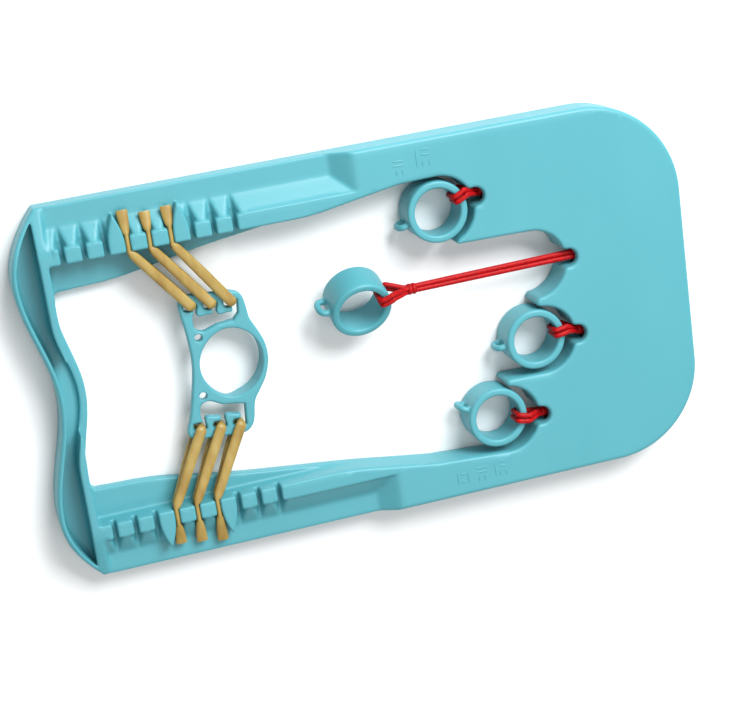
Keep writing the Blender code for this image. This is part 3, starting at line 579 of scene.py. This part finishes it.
def make_marks():
    """Small raised marks on the front of the head: plain strokes that stand for its moulded lettering."""
    patterns = (
        (
            ((-2.6, 2.6), (2.6, 2.6)),
            ((-2.6, 0.6), (2.6, 0.6)),
            ((-1.4, -1.2), (-1.4, -3.2)),
            ((1.4, -1.2), (1.4, -3.2)),
        ),
        (
            ((-2.2, 3.0), (-2.2, -3.0)),
            ((0.0, 3.0), (2.6, 3.0)),
            ((0.0, 1.0), (2.6, 1.0)),
            ((0.0, -1.0), (0.0, -3.0)),
            ((2.6, -1.0), (2.6, -3.0)),
        ),
        (
            ((-2.4, 2.8), (-2.4, -2.8)),
            ((2.4, 2.8), (2.4, -2.8)),
            ((-0.9, 1.8), (0.9, 1.8)),
            ((-0.9, -1.8), (0.9, -1.8)),
        ),
    )
    bm = bmesh.new()
    for number, (x, y, size) in enumerate(MARK_PLACES):
        for start, end in patterns[number % 3]:
            a = Vector(start) * size
            b = Vector(end) * size
            half_length = (b - a).length / 2.0 + 0.4
            turn = Matrix.Rotation(math.atan2(b.y - a.y, b.x - a.x), 4, "Z")
            middle = Vector((x, y, BOARD_DEPTH)) + ((a + b) / 2.0).to_3d()
            scale = Matrix.Diagonal((half_length, 0.42, 0.24, 1.0))
            matrix = Matrix.Translation(middle) @ turn @ scale
            bmesh.ops.create_icosphere(bm, subdivisions=3, radius=1.0, matrix=matrix)
    bmesh.ops.scale(bm, vec=(MM, MM, MM), verts=bm.verts)
    mesh = bpy.data.meshes.new("raised_marks")
    bm.to_mesh(mesh)
    bm.free()
    mesh.shade_smooth()
    marks = bpy.data.objects.new("raised_marks", mesh)
    bpy.context.scene.collection.objects.link(marks)
    mesh.materials.append(MATERIALS["plastic"])
    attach(marks, "board")


# ---------------------------------------------------------------- finger rings


def joint(name):
    return next(j for j in frame["joints"] if j["name"] == name)


def ring_matrix(key):
    """Placement of a ring: its X axis is the draw's axis, turned by the ring's twist."""
    hinge = joint(f"ring_{key}_twist")
    u = Vector(hinge["axis"]).normalized()
    v = Vector((0.0, 0.0, 1.0)).cross(u).normalized()
    w = u.cross(v)
    basis = Matrix((u, v, w)).transposed().to_4x4()
    twist = Matrix.Rotation(math.radians(TWISTS[key]), 4, "X")
    return Matrix.Translation(Vector(hinge["pos_m"]) / MM) @ basis @ twist


def local_angle(key, angle):
    """Angle on a ring measured from its own X axis."""
    axis = joint(f"ring_{key}_twist")["axis"]
    return math.radians(angle) - math.atan2(axis[1], axis[0])


def ring_field(angle, loop_angle, x, y, z):
    """Short rounded tube with a handle on its outside and a slot for the elastic, in the ring's own frame."""
    half = RING_DEPTH / 2.0
    middle = (RING_RADIUS + RING_BORE) / 2.0
    wall = (RING_RADIUS - RING_BORE) / 2.0
    radius = np.hypot(x, y)
    ring = both(np.abs(radius - middle) - wall, np.abs(z) - half, RING_ROUND)
    out = Vector((math.cos(angle), math.sin(angle), 0.0))
    rise = 4.4
    knots = [
        out * (RING_RADIUS - 1.4) + Vector((0.0, 0.0, rise)),
        out * (RING_RADIUS + 0.55 * HANDLE_REACH) + Vector((0.0, 0.0, rise * 0.98)),
        out * (RING_RADIUS + 0.9 * HANDLE_REACH) + Vector((0.0, 0.0, rise * 0.62)),
        out * (RING_RADIUS + HANDLE_REACH),
        out * (RING_RADIUS + 0.9 * HANDLE_REACH) - Vector((0.0, 0.0, rise * 0.62)),
        out * (RING_RADIUS + 0.55 * HANDLE_REACH) - Vector((0.0, 0.0, rise * 0.98)),
        out * (RING_RADIUS - 1.4) - Vector((0.0, 0.0, rise)),
    ]
    path = smooth_curve(knots, 4)
    handle = None
    for a, b in zip(path, path[1:]):
        bar = segment_field(a, b, HANDLE_BAR, x, y, z)
        handle = bar if handle is None else np.minimum(handle, bar)
    ring = without(either(ring, handle, 1.3), both(radius - RING_BORE, np.abs(z) - half))
    along = x * math.cos(loop_angle) + y * math.sin(loop_angle)
    across = y * math.cos(loop_angle) - x * math.sin(loop_angle)
    level = HOLD_LEVEL - HOLD_DEPTH / 2.0 - STRAND_RADIUS
    slot = both(np.abs(across) - 2.0 * LOOP_SPREAD - 0.2, np.abs(z - level) - STRAND_RADIUS - 0.2, 1.2)
    return without(ring, both(slot, -along), 0.4)


def make_ring(key):
    reach = RING_RADIUS + HANDLE_REACH + HANDLE_BAR + 1.0
    low = (-reach, -reach, -RING_DEPTH / 2.0 - 1.0)
    high = (reach, reach, RING_DEPTH / 2.0 + 1.0)
    x, y, z = field_axes(low, high, SMALL_FIELD_STEP)
    values = ring_field(local_angle(key, HANDLE_ANGLES[key]), local_angle(key, LOOP_ANGLES[key]), x, y, z)
    ring = mesh_from_field(f"finger_ring_{key}", values, low, SMALL_FIELD_STEP, ring_matrix(key))
    ring.data.materials.append(MATERIALS["plastic"])
    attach(ring, f"finger_ring_{key}")
    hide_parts(f"ring_{key}")


# ---------------------------------------------------------------- thumb plate


def plate_matrix():
    turn = Matrix.Rotation(math.radians(PLATE_TURN), 4, "Z")
    return Matrix.Translation((*PLATE_CENTRE, 0.0)) @ turn


def plate_outline():
    """Outline of the thumb plate in its own frame, counter-clockwise."""
    right = [(10.5, -PLATE_END_Y), (14.0, -33.2), (16.2, -30.6), (17.2, -27.0), (18.0, -19.5), (20.6, -14.5)]
    right += [(23.6, -9.0), (25.2, -3.0), (25.6, 2.0), (24.4, 8.5), (21.6, 14.5), (18.2, 20.5), (16.9, 26.5)]
    right += [(15.6, 31.0), (13.6, 33.4), (10.0, PLATE_END_Y)]
    left = [(-10.5, PLATE_END_Y), (-13.4, 33.2), (-14.5, 30.5), (-13.9, 26.0), (-11.8, 16.0), (-10.4, 6.0)]
    left += [(-10.3, -3.0), (-11.6, -14.0), (-13.2, -24.0), (-14.8, -30.0), (-13.9, -33.2)]
    left += [(-11.0, -PLATE_END_Y)]
    return without_repeats(smooth_curve(right, 6) + smooth_curve(left, 6))


def thumb_outline():
    """Rounded thumb hole, counter-clockwise from its right-hand side."""
    points = []
    steps = 72
    for i in range(steps):
        angle = math.tau * i / steps
        x = 8.2 + 14.9 * math.cos(angle)
        flatten = 1.0 - 0.10 * max(-math.cos(angle), 0.0) ** 2
        points.append((x, 0.6 + 16.4 * math.sin(angle) * flatten))
    return points


def plate_window(side):
    """Window at one end of the plate, with a shoulder beside the first strap."""
    knots = [(-8.3, 23.5), (-8.0, 19.6), (-6.4, 17.5), (-3.6, 16.9), (-0.6, 18.0), (2.6, 19.3)]
    inner = smooth_curve(knots, 6)
    bar = PLATE_END_Y - END_BAR
    corner = [(10.4, 20.4), (12.9, 23.6)] if side > 0 else [(9.0, 19.6), (12.9, 20.2)]
    outer = corner + [(12.9, bar), (-12.0, bar), (-12.0, 27.2), (-7.4, 26.6)]
    return [(x, side * y) for x, y in inner + outer]


def prong_field(side, index, x, y):
    """Plan of one hook between two straps: a stem from the end bar, with a toe along its end."""
    left = BAND_OFFSET + BAND_PITCH * (index - 0.5) - PRONG_WIDTH / 2.0
    right = left + PRONG_WIDTH
    reach = side * y
    stem = both(both(left - x, x - right), PRONG_TIP_Y - reach, 1.2)
    toe = both(PRONG_TIP_Y - reach, reach - PRONG_TIP_Y - PRONG_TOE_DEPTH)
    toe = both(both(left - x, x - right - PRONG_TOE_REACH), toe, 0.9)
    return either(stem, toe, 1.5)


def plate_field(x, y, z):
    """Plate with rounded edges, a collared thumb hole, two windows with hooks, and two small holes."""
    slab = both(z - PLATE_FRONT, PLATE_BACK - z)
    plan = outline_field(plate_outline(), x, y)
    for side in (1, -1):
        window = outline_field(plate_window(side), x, y)
        for index in range(2):
            window = without(window, prong_field(side, index, x, y), 0.6)
        plan = without(plan, window)
    plate = both(plan, slab, 1.1)
    for side in (1, -1):
        plate = without(plate, np.hypot(x + 6.4, y - side * 14.0) - 1.8, 0.5)
    thumb = outline_field(thumb_outline(), x, y)
    collar = both(thumb - COLLAR_WALL, both(z - COLLAR_FRONT, COLLAR_BACK - z), 1.0)
    slant = slope_field((COLLAR_STEP_X, PLATE_BACK), (COLLAR_STEP_X + 8.0, COLLAR_BACK), x, z)
    collar = without(collar, both(slant, z - PLATE_BACK + 0.4), 0.8)
    plate = either(plate, collar, 1.2)
    return without(plate, thumb, 0.9)


def make_plate():
    low = (-16.0, -PLATE_END_Y - 2.5, COLLAR_BACK - 1.0)
    high = (27.6, PLATE_END_Y + 2.5, COLLAR_FRONT + 1.0)
    x, y, z = field_axes(low, high, SMALL_FIELD_STEP)
    plate = mesh_from_field("thumb_rest_plate", plate_field(x, y, z), low, SMALL_FIELD_STEP, plate_matrix())
    plate.data.materials.append(MATERIALS["plastic"])
    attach(plate, "thumb_rest")
    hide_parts("thumb_plate")


# ---------------------------------------------------------------- swept parts


def swept_mesh(name, path, wide, half_width, half_thickness, sides=16, power=1.0, ends=True):
    """Skins rounded sections along a path.

    wide gives each section's broad direction, and power 1 makes the section an ellipse.
    """
    bm = bmesh.new()
    rings = []
    count = len(path)
    for i, point in enumerate(path):
        tangent = (Vector(path[min(i + 1, count - 1)]) - Vector(path[max(i - 1, 0)])).normalized()
        across = (wide[i] - tangent * wide[i].dot(tangent)).normalized()
        through = tangent.cross(across)
        ring = []
        for k in range(sides):
            angle = math.tau * (k + 0.5) / sides
            c = math.cos(angle)
            s = math.sin(angle)
            across_by = half_width[i] * math.copysign(abs(c) ** power, c)
            through_by = half_thickness[i] * math.copysign(abs(s) ** power, s)
            ring.append(bm.verts.new((Vector(point) + across * across_by + through * through_by) * MM))
        rings.append(ring)
    for a, b in zip(rings, rings[1:]):
        for k in range(sides):
            j = (k + 1) % sides
            bm.faces.new((a[k], a[j], b[j], b[k]))
    if ends:
        bm.faces.new(rings[0][::-1])
        bm.faces.new(rings[-1])
    bmesh.ops.recalc_face_normals(bm, faces=bm.faces)
    mesh = bpy.data.meshes.new(name)
    bm.to_mesh(mesh)
    bm.free()
    mesh.shade_smooth()
    mesh.set_sharp_from_angle(angle=math.radians(60.0))
    obj = bpy.data.objects.new(name, mesh)
    bpy.context.scene.collection.objects.link(obj)
    return obj


def carried_frames(path, first):
    """Broad directions along a path that turn with it and don't twist about it."""
    frames = []
    current = Vector(first)
    count = len(path)
    for i in range(count):
        tangent = (Vector(path[min(i + 1, count - 1)]) - Vector(path[max(i - 1, 0)])).normalized()
        current = (current - tangent * current.dot(tangent)).normalized()
        frames.append(current.copy())
    return frames


def wrap_corners(centre, outward, up, half_across, half_up, clearance):
    """Path round three sides of a rectangle, from its outer lower corner to its outer upper one."""
    points = []
    corners = (
        (1, -1, (-45.0, -90.0)),
        (-1, -1, (-90.0, -135.0, -180.0)),
        (-1, 1, (-180.0, -225.0, -270.0)),
        (1, 1, (-270.0, -315.0)),
    )
    for side, level, angles in corners:
        corner = centre + outward * (side * half_across) + up * (level * half_up)
        for angle in angles:
            a = math.radians(angle)
            points.append(corner + (outward * math.cos(a) + up * math.sin(a)) * clearance)
    return points


def elastic_points(key):
    """Where one loop passes: the ring's wall, its sleeve, the notch window and the peg."""
    matrix = ring_matrix(key)
    angle = local_angle(key, LOOP_ANGLES[key])
    middle = (RING_RADIUS + RING_BORE) / 2.0
    wall = matrix @ Vector((middle * math.cos(angle), middle * math.sin(angle), HOLD_LEVEL))
    window = Vector((*along_notch(key, NOTCH_REACH), RING_LEVEL))
    peg = Vector((*along_notch(key, PEG_REACH[key]), RING_LEVEL))
    toward = (window - wall).normalized()
    sleeve = wall + toward * (SLEEVE_SETBACK + (RING_RADIUS - RING_BORE) / 2.0)
    return matrix, wall, sleeve, window, peg, toward


def make_elastic(key):
    """One red loop: the strands from the peg to the sleeve, and the two cords from there round the ring."""
    matrix, wall, sleeve, window, peg, toward = elastic_points(key)
    far = sleeve + toward * (SLEEVE_LENGTH + 1.0)
    peg_hold = PEG_RADIUS + 0.3 + STRAND_RADIUS
    run = (peg - window).normalized()
    beside = Vector((0.0, 0.0, 1.0)).cross(run)
    notch_share = (window - far).length / (peg - far).length
    left = [far - toward * 3.0 + beside * STRAND_SPREAD]
    right = [far - toward * 3.0 - beside * STRAND_SPREAD]
    for share in (0.0, 0.5 * notch_share, notch_share, 0.6, 0.7, 0.8, 0.9, 1.0):
        spread = STRAND_SPREAD + (NOTCH_SPREAD - STRAND_SPREAD) * min(share / notch_share, 1.0)
        behind = max((share - notch_share) / (1.0 - notch_share), 0.0)
        spread += (peg_hold - NOTCH_SPREAD) * behind**1.5
        left.append(far.lerp(peg, share) + beside * spread)
        right.append(far.lerp(peg, share) - beside * spread)
    turn = []
    for angle in (-60.0, -30.0, 0.0, 30.0, 60.0):
        a = math.radians(angle)
        turn.append(peg + run * (peg_hold * math.cos(a)) - beside * (peg_hold * math.sin(a)))
    path = [Vector(p) for p in smooth_curve(left + turn + right[::-1], 6)]
    sizes = [STRAND_RADIUS] * len(path)
    strands = swept_mesh(f"elastic_strands_{key}", path, carried_frames(path, beside), sizes, sizes)
    strands.data.materials.append(MATERIALS["red_elastic"])
    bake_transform(strands)
    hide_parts(f"elastic_{key}")

    up = matrix.to_3x3() @ Vector((0.0, 0.0, 1.0))
    start = sleeve - toward * 1.0
    inner = start + toward * 2.5
    outward = (wall - up * HOLD_LEVEL - matrix.translation).normalized()
    tangent = up.cross(outward).normalized()
    half_wall = (RING_RADIUS - RING_BORE) / 2.0
    around = wrap_corners(wall, outward, up, half_wall, HOLD_DEPTH / 2.0, 0.1 + STRAND_RADIUS)
    for number, offset in ((1, -1.0), (2, 1.0)):
        narrow = tangent * (STRAND_SPREAD * offset)
        middle = tangent * (0.5 * (STRAND_SPREAD + LOOP_SPREAD) * offset)
        broad = tangent * (LOOP_SPREAD * offset)
        path = [inner - up * 0.8 + narrow, start - up * 0.8 + narrow]
        path += [start.lerp(around[0], 0.5) - up * 0.4 + middle]
        path += [point + broad for point in around]
        path += [start.lerp(around[-1], 0.5) + up * 0.4 + middle]
        path += [start + up * 0.8 + narrow, inner + up * 0.8 + narrow]
        path = [Vector(p) for p in smooth_curve(path, 6)]
        sizes = [STRAND_RADIUS] * len(path)
        loop = swept_mesh(f"elastic_loop_{key}_{number}", path, carried_frames(path, tangent), sizes, sizes)
        loop.data.materials.append(MATERIALS["red_elastic"])
        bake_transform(loop)
        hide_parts(f"elastic_{key}")


def make_sleeve(key):
    """Short rubber sleeve with two soft ridges round it."""
    _, _, sleeve, _, _, toward = elastic_points(key)
    steps = 28
    path = []
    radii = []
    for i in range(steps + 1):
        share = i / steps
        ridge = abs(math.sin(2.0 * math.pi * share)) ** 0.7
        path.append(sleeve + toward * (SLEEVE_LENGTH * share))
        radii.append(SLEEVE_RADIUS - 0.5 + 0.5 * ridge)
    across = [Vector((0.0, 0.0, 1.0)).cross(toward).normalized()] * len(path)
    piece = swept_mesh(f"elastic_sleeve_{key}", path, across, radii, radii, sides=28)
    piece.data.materials.append(MATERIALS["red_sleeve"])
    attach(piece, f"pull_{key}")
    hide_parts(f"sleeve_{key}")


def strand_stations(side, index, slot_level, pinch, bar_level, tail):
    """One strand of a strap from its tail's end to the bar, as (point, half width, half thickness)."""
    slot_out = Vector((slot_x(3 + index), side * (COMB_OUTER_Y + 0.2), 0.0))
    slot_in = Vector((slot_x(3 + index), side * (COMB_INNER_Y - 0.1), 0.0))
    bar_edge = strap_bar_edge(side, index)
    outward = Vector((0.0, side, 0.0))
    length = TAIL_LENGTHS[side][index]
    stations = []
    for share, width, thickness in tail:
        lift = Vector((0.0, 0.0, slot_level - TAIL_DROP * share))
        stations.append((slot_out + outward * (length * share) + lift, width, thickness))
    for share in (0.0, 0.5, 1.0):
        level = Vector((0.0, 0.0, slot_level))
        stations.append((slot_out.lerp(slot_in, share) + level, pinch, PINCH_HALF_THICKNESS))
    run = (bar_edge - slot_in).length
    for distance, width, thickness in STRAP_SPAN:
        level = slot_level + (bar_level - slot_level) * ease(distance, run - END_BAR)
        point = slot_in.lerp(bar_edge, distance / run) + Vector((0.0, 0.0, level))
        stations.append((point, width, thickness))
    level = Vector((0.0, 0.0, bar_level))
    stations.append((bar_edge.lerp(slot_in, END_BAR / run) + level, LATEX_HALF_WIDTH, LATEX_HALF_THICKNESS))
    return stations


def strap_bar_edge(side, index):
    """Point on the inner edge of the thumb plate's end bar where a strap folds round it."""
    x = BAND_OFFSET + BAND_PITCH * (index - 1)
    return plate_matrix() @ Vector((x, side * (PLATE_END_Y - END_BAR), 0.0))


def make_strap(side, index):
    """One latex strap: two tails, a pinch in its slot, and a fold round the thumb plate's end bar."""
    bar_edge = strap_bar_edge(side, index)
    slot_in = Vector((slot_x(3 + index), side * (COMB_INNER_Y - 0.3), 0.0))
    inward = (bar_edge - slot_in).normalized()
    clearance = BAND_GAP + LATEX_HALF_THICKNESS
    level, pinch = FRONT_PINCH
    stations = strand_stations(side, index, SLOT_FLOOR + level, pinch, PLATE_FRONT + clearance, FRONT_TAIL)
    for level, fold in (
        (PLATE_FRONT, ((90.0, 2.5), (65.0, 2.4), (40.0, 2.2), (15.0, 1.9), (0.0, 1.7))),
        (PLATE_BACK, ((-15.0, 1.9), (-40.0, 2.2), (-65.0, 2.4), (-90.0, 2.5))),
    ):
        for angle, width in fold:
            a = math.radians(angle)
            lift = Vector((0.0, 0.0, level + clearance * math.sin(a)))
            point = bar_edge + inward * (clearance * math.cos(a)) + lift
            stations.append((point, width, LATEX_HALF_THICKNESS))
    level, pinch = REAR_PINCH
    rear = strand_stations(side, index, SLOT_FLOOR + level, pinch, PLATE_BACK - clearance, REAR_TAIL)
    stations += rear[::-1]

    steps = 5
    path = [Vector(p) for p in smooth_curve([p for p, a, b in stations], steps)]
    sizes = smooth_curve([(a, b) for p, a, b in stations], steps)
    across = Vector((0.0, 0.0, 1.0)).cross(inward)
    if across.x < 0.0:
        across.negate()
    wide = []
    for point in path:
        share = min(max((COMB_INNER_Y - abs(point.y)) / 6.0, 0.0), 1.0)
        wide.append(Vector((1.0, 0.0, 0.0)).lerp(across, share).normalized())
    arm = "index" if side > 0 else "little"
    name = f"latex_strap_{arm}_side_{index + 1}"
    widths = [a for a, b in sizes]
    thicknesses = [b for a, b in sizes]
    strap = swept_mesh(name, path, wide, widths, thicknesses, sides=24, power=0.9)
    strap.data.materials.append(MATERIALS["latex"])
    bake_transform(strap)
    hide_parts(f"latex_band_{arm}_side_{index + 1}")


# ---------------------------------------------------------------- materials


def new_material(name, colour, roughness):
    material = bpy.data.materials.new(name)
    material.use_nodes = True
    nodes = material.node_tree.nodes
    links = material.node_tree.links
    shader = nodes["Principled BSDF"]
    shader.inputs["Base Color"].default_value = (*colour, 1.0)
    shader.inputs["Roughness"].default_value = roughness
    coordinates = nodes.new("ShaderNodeTexCoord")
    return material, nodes, links, shader, coordinates


def noise_node(nodes, links, coordinates, scale, detail, stretch=None):
    """Noise in the object's own space; scale is in features a metre."""
    noise = nodes.new("ShaderNodeTexNoise")
    noise.inputs["Scale"].default_value = scale
    noise.inputs["Detail"].default_value = detail
    if stretch:
        mapping = nodes.new("ShaderNodeMapping")
        mapping.inputs["Scale"].default_value = stretch
        links.new(coordinates.outputs["Object"], mapping.inputs["Vector"])
        links.new(mapping.outputs["Vector"], noise.inputs["Vector"])
    else:
        links.new(coordinates.outputs["Object"], noise.inputs["Vector"])
    return noise


def ramp_node(nodes, links, source, stops):
    """Colour ramp from (position, colour) stops."""
    ramp = nodes.new("ShaderNodeValToRGB")
    elements = ramp.color_ramp.elements
    while len(elements) < len(stops):
        elements.new(0.5)
    for element, (position, colour) in zip(elements, stops):
        element.position = position
        element.color = (*colour, 1.0)
    links.new(source, ramp.inputs["Fac"])
    return ramp


def range_node(nodes, links, source, low, high):
    mapped = nodes.new("ShaderNodeMapRange")
    mapped.inputs["To Min"].default_value = low
    mapped.inputs["To Max"].default_value = high
    links.new(source, mapped.inputs["Value"])
    return mapped


def bump_node(nodes, links, height, strength, distance, normal=None):
    bump = nodes.new("ShaderNodeBump")
    bump.inputs["Strength"].default_value = strength
    bump.inputs["Distance"].default_value = distance
    links.new(height, bump.inputs["Height"])
    if normal:
        links.new(normal, bump.inputs["Normal"])
    return bump


def plastic_material():
    """Glossy moulded plastic with faint flow marks and a fine orange-peel surface."""
    base = (0.08, 0.335, 0.385)
    material, nodes, links, shader, coordinates = new_material("turquoise_plastic", base, 0.42)
    flow = noise_node(nodes, links, coordinates, 22.0, 3.0, stretch=(1.0, 0.45, 1.0))
    stops = ((0.3, (0.077, 0.325, 0.375)), (0.7, (0.084, 0.345, 0.395)))
    tint = ramp_node(nodes, links, flow.outputs["Fac"], stops)
    links.new(tint.outputs["Color"], shader.inputs["Base Color"])
    peel = noise_node(nodes, links, coordinates, 900.0, 2.0)
    gloss = range_node(nodes, links, flow.outputs["Fac"], 0.38, 0.48)
    links.new(gloss.outputs["Result"], shader.inputs["Roughness"])
    bump = bump_node(nodes, links, peel.outputs["Fac"], 0.06, 0.0002)
    links.new(bump.outputs["Normal"], shader.inputs["Normal"])
    shader.inputs["Specular IOR Level"].default_value = 0.4
    shader.inputs["Coat Weight"].default_value = 0.06
    shader.inputs["Coat Roughness"].default_value = 0.25
    shader.inputs["Subsurface Weight"].default_value = 0.08
    shader.inputs["Subsurface Radius"].default_value = (0.2, 0.8, 1.0)
    shader.inputs["Subsurface Scale"].default_value = 0.002
    return material


def red_material(name, colour, dark):
    """Red rubber cord with fine lengthwise and crosswise mottling."""
    material, nodes, links, shader, coordinates = new_material(name, colour, 0.4)
    mottle = noise_node(nodes, links, coordinates, 700.0, 4.0)
    tint = ramp_node(nodes, links, mottle.outputs["Fac"], ((0.3, dark), (0.65, colour)))
    links.new(tint.outputs["Color"], shader.inputs["Base Color"])
    gloss = range_node(nodes, links, mottle.outputs["Fac"], 0.32, 0.5)
    links.new(gloss.outputs["Result"], shader.inputs["Roughness"])
    fine = noise_node(nodes, links, coordinates, 2400.0, 2.0)
    bump = bump_node(nodes, links, fine.outputs["Fac"], 0.25, 0.0002)
    links.new(bump.outputs["Normal"], shader.inputs["Normal"])
    shader.inputs["Specular IOR Level"].default_value = 0.15
    shader.inputs["Subsurface Weight"].default_value = 0.15
    shader.inputs["Subsurface Radius"].default_value = (1.0, 0.1, 0.1)
    shader.inputs["Subsurface Scale"].default_value = 0.001
    return material


def latex_material():
    """Amber latex: cloudy, a little translucent, darker where it is thick."""
    material, nodes, links, shader, coordinates = new_material("amber_latex", (0.38, 0.22, 0.05), 0.38)
    cloud = noise_node(nodes, links, coordinates, 160.0, 4.0, stretch=(1.0, 0.4, 1.0))
    stops = ((0.25, (0.28, 0.16, 0.03)), (0.5, (0.37, 0.25, 0.06)), (0.75, (0.43, 0.32, 0.1)))
    tint = ramp_node(nodes, links, cloud.outputs["Fac"], stops)
    links.new(tint.outputs["Color"], shader.inputs["Base Color"])
    grain = noise_node(nodes, links, coordinates, 1500.0, 3.0)
    gloss = range_node(nodes, links, grain.outputs["Fac"], 0.28, 0.5)
    links.new(gloss.outputs["Result"], shader.inputs["Roughness"])
    bump = bump_node(nodes, links, cloud.outputs["Fac"], 0.3, 0.0005)
    links.new(bump.outputs["Normal"], shader.inputs["Normal"])
    shader.inputs["Subsurface Weight"].default_value = 0.3
    shader.inputs["Subsurface Radius"].default_value = (1.0, 0.5, 0.12)
    shader.inputs["Subsurface Scale"].default_value = 0.0015
    return material


def floor_material():
    material, nodes, links, shader, coordinates = new_material("pale_floor", (0.9, 0.9, 0.9), 0.6)
    grain = noise_node(nodes, links, coordinates, 30.0, 3.0)
    tint = ramp_node(nodes, links, grain.outputs["Fac"], ((0.3, (0.88, 0.88, 0.88)), (0.7, (0.9, 0.9, 0.9))))
    links.new(tint.outputs["Color"], shader.inputs["Base Color"])
    return material


# ---------------------------------------------------------------- stage


def make_floor():
    bm = bmesh.new()
    bmesh.ops.create_grid(bm, x_segments=1, y_segments=1, size=4.0)
    mesh = bpy.data.meshes.new("floor")
    bm.to_mesh(mesh)
    bm.free()
    floor = bpy.data.objects.new("floor", mesh)
    floor.location.z = -0.0004
    bpy.context.scene.collection.objects.link(floor)
    mesh.materials.append(floor_material())


def area_light(name, place, target, size, power, colour=(1.0, 1.0, 1.0)):
    data = bpy.data.lights.new(name, "AREA")
    data.size = size
    data.energy = power
    data.color = colour
    light = bpy.data.objects.new(name, data)
    light.location = place
    light.rotation_euler = (Vector(target) - Vector(place)).to_track_quat("-Z", "Y").to_euler()
    bpy.context.scene.collection.objects.link(light)


def make_lights():
    area_light("key_light", (0.5, 0.9, 0.95), (0.0, 0.0, 0.0), 0.8, 30.0, (0.95, 0.98, 1.0))
    area_light("fill_light", (0.0, -0.3, 1.4), (0.0, 0.0, 0.0), 1.0, 5.0)
    world = bpy.data.worlds.new("soft_surround")
    world.use_nodes = True
    world.node_tree.nodes["Background"].inputs["Color"].default_value = (1.0, 1.0, 1.0, 1.0)
    world.node_tree.nodes["Background"].inputs["Strength"].default_value = 0.45
    bpy.context.scene.world = world


def make_camera():
    data = bpy.data.cameras.new("camera")
    data.lens = CAMERA_LENS
    data.sensor_width = SENSOR_WIDTH
    camera = bpy.data.objects.new("camera", data)
    camera.location = CAMERA_PLACE
    camera.rotation_euler = [math.radians(a) for a in CAMERA_TURN]
    bpy.context.scene.collection.objects.link(camera)
    bpy.context.scene.camera = camera


MATERIALS = {
    "plastic": plastic_material(),
    "red_elastic": red_material("red_elastic", (0.47, 0.006, 0.008), (0.30, 0.003, 0.004)),
    "red_sleeve": red_material("red_sleeve", (0.44, 0.006, 0.008), (0.28, 0.003, 0.004)),
    "latex": latex_material(),
}

bpy.context.scene.view_settings.view_transform = "Standard"
make_camera()
make_lights()
make_floor()
make_board()
make_marks()
make_plate()
for ring_key in POCKETS:
    make_ring(ring_key)
    make_elastic(ring_key)
    make_sleeve(ring_key)
for arm_side in (1, -1):
    for strap_index in range(3):
        make_strap(arm_side, strap_index)
